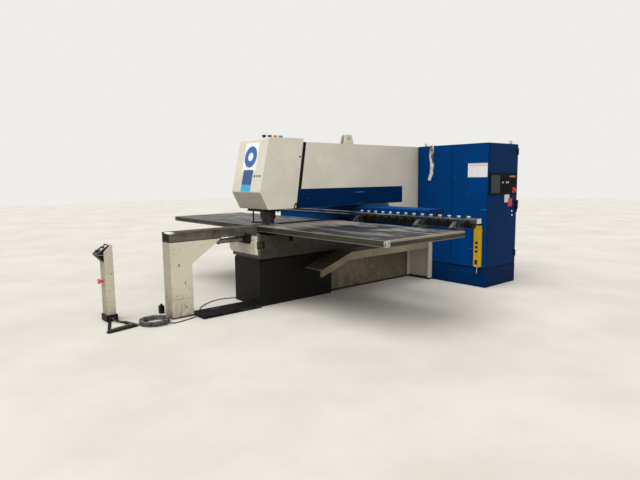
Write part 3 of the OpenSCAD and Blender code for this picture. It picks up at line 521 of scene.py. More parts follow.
def cable(name, points):
    """A cable through points, and its length."""
    curve = bpy.data.curves.new(name, "CURVE")
    curve.dimensions = "3D"
    curve.bevel_depth = CABLE_WIDTH / 2
    curve.bevel_resolution = 3
    curve.use_fill_caps = True
    line = curve.splines.new("POLY")
    line.points.add(len(points) - 1)
    for point, place in zip(line.points, points):
        point.co = (*place, 1.0)
    line.use_smooth = True
    curve.materials.append(sheath_black)
    piece = placed(name, curve)
    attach(piece, "frame")
    return piece, sum((b - a).length for a, b in zip(points, points[1:]))


pedestal_line = lead[:-1] + coil + last_quarter + run[1:]
pedestal_cable, pedestal_length = cable("pedestal_cable", pedestal_line)
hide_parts("cable_lead", "cable_coil", "cable_run")
base_cable, base_length = cable("base_cable", side_run)
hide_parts("side_cable")
print("cable lengths:", round(pedestal_length, 2), round(base_length, 2))

# %% [markdown]
# ## Machine enamel
# Machine paint is a thick satin coat. It collects dirt in corners and near the floor, and chips at edges down to
# primer. Each piece could get a finish of its own, but one function that works from the same causes makes the pieces
# look as if they had aged in one place. The same function also paints shade: on faces that other parts shelter, on
# faces turned one way, and in bands. Bands are stripes between two places along an axis, such as a joint's dark line,
# painted shadow under a part, or painted shade on the frame's lower part.

# %% The enamel function
def enamel(name, colour, stain, edge_colour, dirt=0.5, edge_marks=0.5, rough=0.42, floor_dirt=0.0, speckle=0.0, runs=0.4,
           spread=0.1,
           scratches=0.0, shade=0.0, side=0.0, front=0.0, under=0.0, darker_to_rear=0.0, bands=(), gloss=0.35):
    f = Finish(name, IOR=1.45, Specular_IOR_Level=gloss)
    fine = f.cloud(11, 6, 0.68)
    # The coat itself is a little uneven
    broad = f.cloud(1.1, 5, 0.6, warp=0.4)
    tone = f.mix(scaled(colour, 1 - spread), scaled(colour, 1 + spread), broad.band(0.3, 0.7))
    # Dirt: in corners, in runs down the sides, and splashed up from the floor
    drip = f.cloud(9, 5, 0.6, stretch=(1, 1, 0.14))
    soil = (f.shelter(0.1).band(0.15, 0.75) * 0.75 + (drip * fine).band(0.28, 0.48) * runs) * dirt
    if floor_dirt:
        soil = soil + f.axis("z").band(0.55, 0.0) * (0.35 + 0.9 * fine.band(0.35, 0.7)) * floor_dirt
    tone = f.mix(tone, stain, soil.band(0.0, 1.0))
    # Painted shade on whole faces: deep places under other parts, one side, the front and the underside; and darker
    # towards the rear end
    if shade:
        tone = f.mix(tone, scaled(stain, 0.15), f.shelter(0.6).band(0.3, 0.9) * shade)
    for letter, low, high, amount in (("x", 0.5, 0.95, side), ("y", -0.8, -0.98, front), ("z", -0.25, -0.55, under)):
        if amount:
            tone = f.mix(tone, scaled(colour, 0.2), f.towards(letter).band(low, high) * amount)
    if darker_to_rear:
        tone = f.mix(tone, scaled(colour, 0.3), f.axis("y").rise(0.4, 3.3) * darker_to_rear)
    # Small marks: specks, and scratches that run mostly level
    if speckle:
        spots = f.cloud(26, 3, 0.5, shift=(3, 1, 7)).band(0.62, 0.7) * fine.band(0.42, 0.55)
        tone = f.mix(tone, (0.03, 0.028, 0.025), spots * speckle)
    if scratches:
        lines = f.cloud(16, 3, 0.5, stretch=(0.3, 0.12, 1.9), warp=0.6).band(0.655, 0.7)
        tone = f.mix(tone, (0.24, 0.32, 0.4), lines * f.cloud(2.2, 2, shift=(5, 2, 1)).band(0.48, 0.62) * scratches)
    # Corners are knocked down to what lies under the coat; where the edge colour is paler than the coat, as on the
    # hood, it is also a painted highlight
    worn = f.corners(0.006) * fine.band(0.42, 0.56) * edge_marks
    tone = f.mix(tone, edge_colour, worn)
    soft = 0.0015
    for letter, low, high, there, amount in bands:
        inside = f.axis(letter).band(low - soft, low + soft) * f.axis(letter).band(high + soft, high - soft)
        tone = f.mix(tone, there, inside * (amount * (0.92 + 0.12 * fine)))
    relief = 0.5 * f.cloud(70, 4, 0.6) + 0.8 * (1 - worn)
    return f.paint(tone, rough + 0.22 * soil + 0.14 * (fine - 0.5), relief, 0.0005)


BARE_STEEL = (0.2, 0.185, 0.165)
BROWN_PRIMER = (0.16, 0.095, 0.055)
# Black for painted shadow: in the gap under the base and just below the tables
PAINTED_SHADOW_BLACK = (0.006, 0.0055, 0.005)
print("enamel ready")

# %% [markdown]
# ## Pale paint of the frame, hood and base
# Frame, hood and base are the same warm off-white, and their age sets them apart. The hood is wiped clean, the base
# stands in splashes, and the nose casting is oily. Their darker parts under the tables and the hood's underside are
# painted shade.

# %% Mix the pale paints
# The frame's lower part, from 0.5 to 0.853 m, is painted shade under the tables with some dirt; sheltered faces carry
# painted shade, and the frame is darker towards the rear.
finishes["frame_paint"] = enamel(
    "frame_enamel", (0.668, 0.63, 0.53), (0.24, 0.205, 0.15), (0.66, 0.64, 0.56), dirt=0.45, edge_marks=0.35, runs=0.34,
    shade=0.3, darker_to_rear=0.5, bands=[("z", 0.5, 0.853, (0.017, 0.012, 0.006), 1.0)])
# The hood: its underside is painted shade, its pale corners are chips and a painted highlight, and it is darker below
# 1.15 m.
finishes["hood_paint"] = enamel(
    "hood_enamel", (0.665, 0.628, 0.53), (0.3, 0.26, 0.19), (0.84, 0.82, 0.74), dirt=0.3, edge_marks=0.8, runs=0.2,
    speckle=0.15, under=0.66, bands=[("z", 1.1, 1.1535, (0.12, 0.1, 0.07), 0.5)])
# The base: its front faces carry painted shade, and its black bands are painted shadow just below the tables and at the
# floor.
finishes["base_paint"] = enamel(
    "base_enamel", (0.56, 0.515, 0.405), (0.1, 0.08, 0.05), BROWN_PRIMER, dirt=0.75, edge_marks=1.0, floor_dirt=0.42,
    speckle=0.75, runs=0.7, front=0.45, bands=[("z", 0.8405, 0.9, PAINTED_SHADOW_BLACK, 1.0), ("z", -0.01, 0.016, PAINTED_SHADOW_BLACK, 0.9),
                                               ("z", 0.2085, 0.2115, (0.05, 0.04, 0.03), 0.6)])
# The nose casting is oily. Behind its front face it is dark with painted shade, and its sheltered places and front
# faces carry painted shade too.
finishes["cast_paint"] = enamel(
    "casting_enamel", (0.56, 0.525, 0.43), (0.05, 0.04, 0.028), (0.62, 0.6, 0.54), dirt=1.0, edge_marks=0.8, speckle=1.0,
    runs=1.0, rough=0.5, spread=0.25, shade=0.8, front=0.15, bands=[("y", -0.3672, 0.1, (0.028, 0.024, 0.018), 0.92)])
# The base frame's dark brown is dirt and painted shade under the tables, and its sheltered places carry painted shade;
# the pale band is the off-white coat itself.
base_frame_paint = enamel(
    "base_frame_enamel", (0.25, 0.205, 0.135), (0.05, 0.036, 0.02), (0.34, 0.29, 0.21), dirt=0.9, edge_marks=0.9,
    floor_dirt=0.5, speckle=0.5, runs=0.7, spread=0.25, shade=0.75,
    bands=[("y", 2.43, 2.53, (0.62, 0.585, 0.49), 0.8), ("z", -0.01, 0.024, PAINTED_SHADOW_BLACK, 1.0)])
print("pale paints:", ", ".join(finishes))

# %% [markdown]
# ## Coloured and black paint
# The cabinet is a deep, flat blue, with a dark line where the doors end and the plinth begins.
# Covers and the floor duct are black, and the duct is trodden on, so it is scuffed.

# %% Mix the coloured paints
# The cabinet's right side and its sheltered places are darker with painted shade.
finishes["blue_paint"] = enamel(
    "blue_enamel", (0.0006, 0.046, 0.19), (0.001, 0.012, 0.04), (0.012, 0.075, 0.16), dirt=0.6, edge_marks=0.35, gloss=0.03,
    rough=0.42, runs=0.3, scratches=0.28, floor_dirt=0.3, side=0.77, shade=0.5,
    bands=[("z", -0.01, 0.2505, (0.0003, 0.008, 0.03), 0.4), ("z", 0.2505, 0.2715, (0.0008, 0.006, 0.02), 0.9),
           ("z", 1.1495, 1.1585, (0.004, 0.01, 0.022), 0.3)])
# The black covers are darker on their front faces with painted shade.
finishes["cover_black"] = enamel(
    "black_enamel", (0.0085, 0.008, 0.0072), (0.03, 0.022, 0.014), (0.11, 0.1, 0.09), dirt=0.8, edge_marks=0.6,
    rough=0.45, gloss=0.1, front=0.4)
finishes["duct_black"] = enamel(
    "duct_enamel", (0.006, 0.0057, 0.0052), (0.02, 0.017, 0.012), (0.16, 0.15, 0.13), dirt=1.0, edge_marks=0.8,
    rough=0.6, floor_dirt=0.3, scratches=0.5, gloss=0.05)
finishes["yellow_paint"] = enamel(
    "yellow_enamel", (0.54, 0.33, 0.006), (0.1, 0.065, 0.012), BARE_STEEL, dirt=0.6, edge_marks=0.7)
finishes["pedal_green"] = enamel(
    "pedal_enamel", (0.006, 0.034, 0.016), (0.006, 0.007, 0.006), (0.13, 0.13, 0.12), dirt=0.9, edge_marks=1.0, speckle=0.6)
print("enamels:", ", ".join(finishes))

# %% [markdown]
# ## Worn table steel
# Sheets slide over the tables for years. The plates carry bright streaks along X, dark oily islands
# between them and fine crossing scratches, and their edges a bright rubbed top line. The marks
# could be drawn one by one, but masks on place and facing follow the same causes.

# %% Steel of the tables
def table_plate(f, bright, hair, cross, rub):
    """The plates' upper side: oil, bright islands, a worn streak beside the punch, scratches."""
    across = f.axis("x")
    beside_punch = across.band(0.92, 0.28) * across.band(0.05, 0.1) * (0.34 + 0.66 * rub.band(0.38, 0.6))
    plate = f.mix((0.005, 0.007, 0.011), (0.27, 0.268, 0.258), bright * (0.55 + 0.45 * hair.band(0.35, 0.6)))
    plate = f.mix(plate, (0.5, 0.43, 0.35), beside_punch * 0.8)
    # Darker all over on the left table, below x = 0
    plate = f.mix(plate, (0.006, 0.007, 0.009), across.band(0.0, -0.1) * 0.55)
    return f.mix(plate, (0.3, 0.29, 0.27), (hair * cross).band(0.36, 0.46) * 0.3)


def table_edge(f, rim):
    """The plates' edges: brown and oily, with rubbed lines below, on top and at the outer ends."""
    height = f.axis("z")
    edge = f.mix((0.01, 0.008, 0.005), (0.04, 0.033, 0.022), rim.band(0.4, 0.62))
    edge = f.mix(edge, (0.15, 0.135, 0.11), height.band(0.8945, 0.8915) * 0.8)
    edge = f.mix(edge, (0.42, 0.39, 0.33), height.band(0.9435, 0.9465) * (0.45 + 0.45 * rim))
    outer_end = (f.towards("x") * f.axis("x")).band(1.9, 2.1)
    return f.mix(edge, (0.23, 0.205, 0.165), outer_end * height.band(0.93, 0.933) * (0.75 + 0.25 * rim))


def table_steel():
    f = Finish("table_steel", IOR=1.5, Specular_IOR_Level=0.3)
    top = f.towards("z").band(0.7, 0.9)
    island = f.cloud(1.5, 4, 0.55, stretch=(0.75, 1.5, 1), warp=1.6)
    arcs = f.cloud(2.2, 5, 0.6, stretch=(0.35, 1.6, 1), shift=(1.3, 0.4, 0), warp=2.2)
    rub = f.cloud(7.5, 6, 0.68, stretch=(0.1, 1, 1), warp=0.3)
    hair = f.cloud(120, 3, 0.6, stretch=(0.02, 1, 1))
    cross = f.cloud(90, 3, 0.6, stretch=(1, 0.03, 1), shift=(2, 0, 0))
    rim = f.cloud(5, 6, 0.7, stretch=(0.25, 0.25, 1.4))
    rear = 0.45 + 0.55 * f.axis("y").band(-0.05, 0.5)
    bright = ((0.5 * island + 0.3 * arcs + 0.2 * rub).band(0.475, 0.55) * rear).most(arcs.band(0.57, 0.61) * rear)
    skin = f.mix(table_edge(f, rim), table_plate(f, bright, hair, cross, rub), top)
    end_strip = abs(f.axis("x")).band(2.166, 2.169)
    skin = f.mix(skin, (0.42, 0.395, 0.33), end_strip * (0.45 + 0.45 * rim) * top)
    # Painted shade: sides and undersides go nearly black where other parts shelter them
    skin = f.mix(skin, (0.015, 0.012, 0.009), f.shelter(0.05).band(0.35, 0.95) * (1 - top) * 0.8)
    shine = 0.34 - 0.08 * bright + 0.24 * hair.band(0.3, 0.7) + 0.16 * (1 - top)
    return f.paint(skin, shine, 0.6 * hair + 0.4 * cross, 0.0002, metal=top * (0.14 * (1 - bright) + 0.04))


finishes["worn_steel"] = table_steel()
print("table steel ready")

# %% [markdown]
# ## Plain steel
# Bolts, runners and guides are bare steel, oiled nearly black or ground bright. One function with a
# dark and a light tone, a grain and its direction makes them all.

# %% Oiled, ground and drawn metal
def plain_steel(name, dark, light, scale, stretch, rough, metal):
    f = Finish(name)
    grain = f.cloud(scale, 6, 0.65, stretch=stretch, warp=0.2)
    patch = f.cloud(3.5, 5, 0.6)
    tone = f.mix(dark, light, (0.55 * grain + 0.45 * patch).band(0.38, 0.62))
    # Painted shade: a darker copy of the steel where corners shelter it
    tone = f.mix(tone, scaled(dark, 0.35), f.shelter(0.06).band(0.3, 0.9) * 0.85)
    tone = f.mix(tone, scaled(light, 1.7), f.corners(0.003) * 0.5)
    return f.paint(tone, rough + 0.25 * (grain - 0.5), grain, 0.0003, metal=metal)


EVEN, ALONG_X, DRAWN_X = (1, 1, 1), (0.15, 1, 1), (0.06, 1, 1)
finishes["dark_steel"] = plain_steel("oiled_steel", (0.006, 0.006, 0.0055), (0.034, 0.032, 0.029), 14, EVEN, 0.46, 0.3)
finishes["ground_steel"] = plain_steel("ground_steel", (0.22, 0.215, 0.2), (0.52, 0.51, 0.48), 40, ALONG_X, 0.3, 0.8)
finishes["rail_aluminium"] = plain_steel("rail_aluminium", (0.2, 0.2, 0.195), (0.5, 0.5, 0.48), 30, DRAWN_X, 0.4, 0.25)
tie_steel = plain_steel("tie_steel", (0.1, 0.096, 0.085), (0.24, 0.225, 0.19), 12, EVEN, 0.5, 0.2)
clamp_steel = plain_steel("clamp_steel", (0.016, 0.015, 0.014), (0.105, 0.1, 0.088), 18, EVEN, 0.44, 0.3)
print("plain metals ready")

# %% [markdown]
# ## Beam and rail
# Two long pieces have patterns of their own. The bridge beam is brown, dark on its end, with one bright corner that is
# a painted highlight. The cross rail is dull blue-grey between two thin bright lines of painted highlight. Both are
# made from bands on the place, as a painter would mask them.

# %% Steel of the bridge beam
def beam_steel():
    f = Finish("beam_steel", Specular_IOR_Level=0.08)
    grain = f.cloud(9, 6, 0.68, stretch=(1.0, 0.1, 1.0), warp=0.4)
    patch = f.cloud(4.0, 5, 0.6)
    side = f.mix((0.046, 0.038, 0.03), (0.15, 0.132, 0.108), (0.5 * grain + 0.5 * patch).band(0.38, 0.64))
    upper = f.mix((0.02, 0.021, 0.018), (0.066, 0.07, 0.06), grain.band(0.35, 0.62))
    tone = f.mix(side, upper, f.towards("z").band(0.7, 0.9))
    tone = f.mix(tone, (0.01, 0.0105, 0.008), f.towards("y").band(-0.7, -0.95))
    # A painted highlight: one bright patch on the beam's front top corner
    painted_glint = f.axis("y").band(-1.265, -1.32) * f.axis("x").band(-0.06, 0.0) * patch.band(0.3, 0.42)
    tone = f.mix(tone, (0.86, 0.86, 0.82), painted_glint * f.axis("z").band(0.93, 0.942))
    tone = f.mix(tone, (0.3, 0.28, 0.24), f.corners(0.004) * 0.7)
    return f.paint(tone, 0.55, grain, 0.0003, metal=0.05)


beam_finish = beam_steel()
print("beam ready")

# %% Metal of the cross rail
rail = Finish("rail_front", Specular_IOR_Level=0.2)
drawn = rail.cloud(30, 5, 0.65, stretch=DRAWN_X)
# lit is the painted highlight, in two thin lines; dull is the rail between them
lit = rail.mix((0.07, 0.09, 0.115), (0.28, 0.3, 0.32), drawn.band(0.42, 0.66))
dull = rail.mix((0.01, 0.016, 0.026), (0.034, 0.05, 0.078), drawn.band(0.4, 0.65))
highlight_lines = rail.axis("z").band(1.044, 1.0475).most(rail.axis("z").band(1.011, 1.0085))
rail_tone = rail.mix(dull, lit, highlight_lines)
rail_tone = rail.mix(rail_tone, (0.62, 0.61, 0.57), rail.axis("x").band(2.196, 2.2) * 0.8)
rail_finish = rail.paint(rail_tone, 0.42, drawn, 0.0003, metal=0.05)
print("rail ready")

# %% [markdown]
# ## Plastics and rubber
# Seals, knobs and buttons are moulded: smooth, with a little uneven gloss and dust in corners. A
# bare shader would do from afar, but it looks wet beside the worn paint.

# %% Moulded finishes
def moulded(name, colour, rough, dust, coat=0.0, bands=(), gloss=0.35):
    f = Finish(name, Coat_Weight=coat, Specular_IOR_Level=gloss)
    fine = f.cloud(45, 4, 0.6)
    dusty = f.cloud(9, 4, 0.6) * f.shelter(0.02).band(0.0, 0.6).most(0.35)
    tone = f.mix(colour, (0.32, 0.3, 0.26), dusty * dust)
    for low, high, there in bands:
        tone = f.mix(tone, there, f.axis("y").band(low, low + 0.01) * f.axis("y").band(high, high - 0.01))
    tone = f.mix(tone, tuple(min(1.0, 1.35 * c + 0.02) for c in colour), f.corners(0.002) * 0.35)
    return f.paint(tone, rough + 0.25 * (fine - 0.5) + 0.3 * dusty * dust, fine, 0.0002)


finishes["seal_rubber"] = moulded("seal_rubber", (0.005, 0.0048, 0.0045), 0.65, 0.1, gloss=0.05)
finishes["console_black"] = moulded("console_plastic", (0.004, 0.005, 0.0056), 0.55, 0.04, gloss=0.03)
finishes["knob_white"] = moulded("white_plastic", (0.78, 0.79, 0.78), 0.28, 0.15, 0.3)
finishes["cap_plastic"] = moulded("cap_plastic", (0.012, 0.04, 0.085), 0.35, 0.3,
                                  bands=[(0.05, 0.135, (0.52, 0.2, 0.05)), (0.135, 0.25, (0.03, 0.21, 0.48))])
finishes["stop_red"] = moulded("red_plastic", (0.62, 0.035, 0.02), 0.3, 0.1, 0.4)
finishes["button_blue"] = moulded("button_blue_plastic", (0.012, 0.06, 0.26), 0.3, 0.1)
finishes["cable_sheath"] = sheath_black
dark_glass = moulded("dark_glass", (0.012, 0.016, 0.02), 0.22, 0.12, gloss=0.15)
print("finishes:", len(finishes))

# %% [markdown]
# ## Finish every solid
# The record gives each solid a material slot, and most solids take the finish of their slot. The
# few with a pattern of their own are named in a table, which keeps that choice in one place.

# %% Hand out the finishes
special = {"bridge_beam": beam_finish, "base_frame": base_frame_paint, "bridge_tie": tie_steel, "x_rail": rail_finish,
           "clamp_jaw_1": clamp_steel, "clamp_jaw_2": clamp_steel, "clamp_jaw_3": clamp_steel}
slots = {s["node"]: s["material_slot"] for s in frame["record"]["subparts"]}
for node, piece in frame["nodes"].items():
    piece.data.materials.clear()
    piece.data.materials.append(special.get(node, finishes[slots[node]]))
print("finished solids:", len(slots))

# %% [markdown]
# ## Plates on the hood
# The hood's leaning front carries thin printed plates. They could be painted on with a mask, but a
# real plate has an edge. So each is a sheet cut to an outline in the plane of the front, whose edge
# shows a fine line of shadow.

# %% Films and the hood's plane
def film(name, colour):
    """A printed film, a little faded and rubbed."""
    f = Finish(name, Specular_IOR_Level=0.3)
    wear = f.cloud(38, 5, 0.65)
    tone = f.mix(colour, tuple(0.72 * c + 0.06 for c in colour), wear.band(0.5, 0.66) * 0.7)
    return f.paint(tone, 0.4 + 0.25 * (wear - 0.5), wear, 0.0001)


white_film = film("white_film", (0.88, 0.88, 0.87))
blue_film = film("blue_film", (0.014, 0.125, 0.4))
deep_film = film("deep_blue_film", (0.022, 0.085, 0.24))
cyan_film = film("cyan_film", (0.035, 0.37, 0.66))
red_film = film("red_film", (0.42, 0.02, 0.02))
HOOD_FOOT_Y, HOOD_FOOT_Z = -0.318, 1.36
HOOD_LEAN, HOOD_RISE = 0.148, 0.635
hood_tilt = math.atan2(HOOD_LEAN, HOOD_RISE)
hood_up = (0, math.sin(hood_tilt), math.cos(hood_tilt))
print("hood leans back", round(math.degrees(hood_tilt), 1), "degrees")

# %% Lay the plates
def on_hood(name, outline, x, z, thick, material):
    place = (x, HOOD_FOOT_Y + HOOD_LEAN * (z - HOOD_FOOT_Z) / HOOD_RISE, z)
    build(name, [sheet_cut(outline, place, (1, 0, 0), hood_up, thick)], "hood_body", material)


on_hood("hood_plate_ground", oblong(0.292, 0.345, 0.01), -0.008, 1.775, 0.001, white_film)
on_hood("hood_plate_round", disc(0.13, 48), -0.008, 1.775, 0.0018, blue_film)
on_hood("hood_plate_middle", disc(0.052, 32), -0.008, 1.775, 0.0024, white_film)
on_hood("hood_panel_upper", oblong(0.21, 0.18, 0.004), -0.01, 1.5325, 0.0014, deep_film)
on_hood("hood_panel_lower", oblong(0.21, 0.082, 0.004), -0.01, 1.405, 0.0014, cyan_film)
for i, x in enumerate((0.141, 0.197, 0.253)):
    on_hood(f"hood_dot_{i + 1}", disc(0.017, 20), x, 1.545, 0.0012, deep_film)
print("hood plates laid")

# %% [markdown]
# ## Round the head
# A ring at the hood's lower corner pulls it open. The head's plate has a turned-down lip, a grease fitting hangs beside
# the punch, and a dark rubber sheet on the nose below is painted shade in its recess. These are small, but they give
# the head its dark outline.

# %% Fit the head's small pieces
pull_wire = [(0.006 * math.cos(a), 0.031 + 0.006 * math.sin(a)) for a in (2 * math.pi * k / 10 for k in range(10))]
build("hood_pull", [ring((0.3195, 0.205, 1.172), (1, 0, 0), pull_wire, 28),
                    slab((0.3122, 0.188, 1.194), (0.3255, 0.206, 1.216))],
      "hood_body", "cover_black", 0.0008)
fitting = [(0, 0.009), (0.01, 0.009), (0.01, 0.013), (0.026, 0.013), (0.036, 0.006)]
build("grease_fitting", [turned((0.155, 0.045, 1.1352), (0, 0, -1), fitting, 16)], "frame", "yellow_paint", 0.0008, 2)
LIP_LOW, LIP_HIGH = 1.118, 1.1348
build("head_plate_lip", [slab((-0.19, -0.178, LIP_LOW), (0.19, -0.1665, LIP_HIGH)),
                         slab((-0.19, -0.1665, LIP_LOW), (-0.1775, 0.078, LIP_HIGH)),
                         slab((0.1775, -0.1665, LIP_LOW), (0.19, 0.078, LIP_HIGH))], "frame", "cover_black", 0.0015, 2)
# A dark sheet over the nose's recess, standing for the shade that lies there
seal_outline = [(0.048, 0.787), (0.078, 0.757), (0.195, 0.757), (0.225, 0.787), (0.225, 0.872), (0.048, 0.872)]
build("nose_shade_sheet", [sheet_cut(seal_outline, (0, -0.3983, 0), (1, 0, 0), (0, 0, 1), 0.004)], "frame", "seal_rubber",
      0.0012, 2)
print("hood dressed")

# %% [markdown]
# ## Fasteners
# Screws sit where the real plates are held: in the nose's bores, along the table's edge, on the
# duct's lid and round the rear cover. Instances could repeat one screw, but a row that is one mesh
# stays together and has one name.

# %% Screws of the nose
nose_screws = [screw((s * x, -0.3925, z), (0, -1, 0), 0.0078, 0.0055)
               for s in (-1, 1) for x in (0.2, 0.256) for z in (0.752, 0.804)]
nose_screws += [screw((x, -0.384, 0.674), (0, -1, 0), 0.0064, 0.004) for x in (-0.11, 0, 0.11)]
build("nose_screws", nose_screws, "frame", "dark_steel", 0.0004)
print("nose screws:", len(nose_screws))

# %% Screws and corners of the tables
CORNER = [(2.158, -0.2278), (2.1955, -0.2278), (2.1998, -0.2235), (2.1998, -0.186), (2.1982, -0.186), (2.1982, -0.2262),
          (2.158, -0.2262)]
DIMPLE = [(0, 0.0075), (0.0006, 0.0071), (0.0006, 0.0033), (0.0001, 0.0029)]
for side, sign in (("right", 1), ("left", -1)):
    rows = [screw((sign * (0.214 + 0.265 * i), -0.2205, 0.914), (0, -1, 0), 0.005, 0.0035) for i in range(8)]
    rows += [turned((sign * (0.16 + 0.2475 * i), y, 0.9499), (0, 0, 1), DIMPLE, 16) for i in range(9)
             for y in (-0.208, 0.955)]
    build(f"table_screws_{side}", rows, "y_carriage", "dark_steel", 0)
    corner = CORNER if sign > 0 else [(-x, y) for x, y in reversed(CORNER)]
    build(f"table_corner_{side}", [sheet_cut(corner, (0, 0, 0.8865), (1, 0, 0), (0, 1, 0), 0.0645)],
          "y_carriage", "rail_aluminium", 0.0005)
    build(f"corner_screw_{side}", [screw((sign * 2.18, -0.2277, 0.916), (0, -1, 0), 0.0075, 0.003)],
          "y_carriage", "dark_steel")
    ring_of_six = [(1.56 + y, 0.325 + z) for y, z in disc(0.055, 6)]
    build(f"boss_bolts_{side}", [h for y, z in ring_of_six
                                 for h in hexagon((sign * 0.2058, y, z), (sign, 0, 0), 0.006, 0.006)],
          "frame", "dark_steel")
print("screws in each table:", len(rows))

# %% Screws of the duct and the rear cover
duct = [screw((x, -1.05 + 0.115 * i, 0.0278), (0, 0, 1), 0.006, 0.003) for i in range(7) for x in (0.004, 0.281)]
duct += [slab((-0.007, y, 0.0279), (0.292, y + 0.006, 0.029)) for y in (-0.84, -0.575)]
build("duct_fittings", duct, "frame", "duct_black", 0.0004)
rear_screws = [screw((x, 3.2768, 0.72 + 0.22 * i), (0, 1, 0), 0.007, 0.004) for x in (-0.205, 0.205) for i in range(6)]
build("rear_cover_screws", rear_screws, "frame", "dark_steel", 0.0004)
print("duct and rear:", len(duct), len(rear_screws))

# %% [markdown]
# ## Rail and clamps
# Between the knobs the rail has dark release blocks, and under each knob a latch plate, which give
# it a rhythm of light and dark. Both repeat at the knobs' even spacing, so one list of stations
# places them all.

# %% Rail fittings
stations = [2.087 - 0.126 * i for i in range(14)]
build("release_blocks", [slab((x + 0.036, 1.1885, 1.0618), (x + 0.09, 1.215, 1.069)) for x in stations[1:]],
      "x_carriage", "cover_black", 0.0015, 2)
build("latch_plates", [slab((x - 0.03, 1.1832, 1.038), (x + 0.03, 1.1852, 1.0475)) for x in stations],
      "x_carriage", "cover_black", 0.0006)
build("latch_screws", [screw((x + dx, 1.1834, 1.0425), (0, -1, 0), 0.0034, 0.002, 12) for x in stations
                       for dx in (-0.022, 0.022)],
      "x_carriage", "ground_steel", 0)
for i, x in enumerate((0.449, 1.457, 1.961)):
    pair = [h for dx in (-0.036, 0.036) for h in hexagon((x + dx, 1.085, 0.9619), (0, 0, 1), 0.007, 0.007)]
    build(f"clamp_bolts_{i + 1}", pair, "x_carriage", "ground_steel")
print("rail stations:", len(stations))

# %% [markdown]
# ## Console on the cabinet door
# The console has a glass screen in a frame of thin strips, and rows of blank keys, a few of them
# coloured. They ride on the door, so they swing out with it.

# %% Console fittings
build("screen_glass", [slab((1.5021, 2.585, 1.287), (1.5042, 2.809, 1.527))], "door", dark_glass, 0.0008, 2,
      "console_black")
strips = [slab((1.5058, 2.562, z), (1.5074, 3.236, z + 0.004)) for z in (1.264, 1.546)]
strips += [slab((1.5058, y, 1.264), (1.5074, y + 0.004, 1.55)) for y in (2.562, 2.825, 3.232)]
build("console_strips", strips, "door", "console_black", 0.0005)
KEYS = {"red": ((0.5, 0.05, 0.03), (4, 7), 5), "orange": ((0.62, 0.22, 0.04), (5, 6), 5),
        "pale": ((0.42, 0.42, 0.38), (0, 2, 3), 3)}
for name, (colour, columns, row) in KEYS.items():
    z = 1.2935 + 0.04 * row
    keys = [slab((1.5088, 2.8535 + 0.046 * c, z), (1.5102, 2.8825 + 0.046 * c, z + 0.025)) for c in columns]
    build(f"keys_{name}", keys, "door", moulded(f"key_{name}", colour, 0.35, 0.2), 0.0006, 2)
stop_section = [(0.0, 0.0125), (0.0, 0.042), (0.0022, 0.042), (0.0022, 0.0125)]
build("stop_collar", [ring((1.506, 3.16, 1.316), (1, 0, 0), stop_section)], "door", red_film, 0.0004)
print("key colours:", ", ".join(KEYS))

# %% [markdown]
# ## Door and cabinet front
# The door has two small tags, two plugs, and catches along its rear edge. The front carries one
# blank plate. All are thin sheet or turned pieces laid on the panels.

# %% Door and front fittings
build("door_tag_pale", [slab((1.4941, 2.945, 1.15), (1.4953, 3.07, 1.258))], "door",
      film("pale_tag", (0.5, 0.56, 0.46)))
build("door_tag_red", [slab((1.4955, 3.04, 1.09), (1.4966, 3.15, 1.2))], "door", red_film)
plug = [(0, 0.013), (0.003, 0.013), (0.006, 0.008)]
build("door_plugs", [turned((1.4939, y, z), (1, 0, 0), plug, 20) for y, z in ((3.149, 1.02), (3.156, 0.962))],
      "door", "knob_white", 0.0005, 2)
CATCH_HEIGHTS = (1.854, 1.045, 0.413)
catches = [slab((1.4939, 3.24, z - 0.045), (1.5085, 3.27, z + 0.045)) for z in CATCH_HEIGHTS]
catches += [screw((1.5084, 3.255, z + dz), (1, 0, 0), 0.005, 0.003) for z in CATCH_HEIGHTS for dz in (-0.03, 0.03)]
build("door_catches", catches, "door", "cover_black", 0.002, 2)
build("cabinet_plate", [slab((1.182, 2.5188, 1.502), (1.484, 2.5201, 1.692))], "frame", white_film)
build("cabinet_plate_line", [slab((1.182, 2.5184, low), (1.484, 2.5189, high))
                             for low, high in ((1.655, 1.662), (1.682, 1.6915))],
      "frame", film("rose_film", (0.52, 0.38, 0.36)), 0)
print("door catches:", len(CATCH_HEIGHTS))

# %% [markdown]
# ## Light guard
# The light guard is a yellow post in front of the cabinet, with dark windows between covered ones
# and a small hook at its foot. Painted squares would have no depth, so the windows are panes in the
# solid's pockets.

# %% Guard fittings
def guard_row(y_out, y_in, heights, tall=0.034):
    """Panes across the guard's front, from each height upwards."""
    return [slab((1.3665, y_out, z), (1.4085, y_in, z + tall)) for z in heights]


build("guard_glass", guard_row(2.453, 2.4578, (0.4805, 0.5405, 0.6005)), "frame", dark_glass, 0.0006, 2,
      "console_black")
build("guard_covers", guard_row(2.4504, 2.4578, (0.4205, 0.6605)), "frame", "yellow_paint", 0.0006, 2)
build("guard_foot_dark", guard_row(2.447, 2.4505, (0.32,), 0.066), "frame",
      film("oxide_film", (0.06, 0.008, 0.006)), 0.0008)
build("guard_foot_pale", guard_row(2.4475, 2.4505, (0.289,), 0.029), "frame",
      film("pink_film", (0.55, 0.33, 0.3)), 0.0008)
knob = [(0, 0.012), (0.006, 0.012), (0.01, 0.007)]
build("guard_top", [slab((1.362, 2.466, 0.8496), (1.413, 2.519, 0.898)),
                    turned((1.388, 2.492, 0.8975), (0, 0, 1), knob, 20)],
      "frame", "cover_black", 0.003, 2)
build("guard_hook", [slab((1.384, 2.47, 0.216), (1.392, 2.474, 0.2856))], "frame", "knob_white", 0.001, 2)
build("guard_hook_end", [slab((1.379, 2.467, 0.192), (1.397, 2.477, 0.217))], "frame", "stop_red", 0.002, 2)
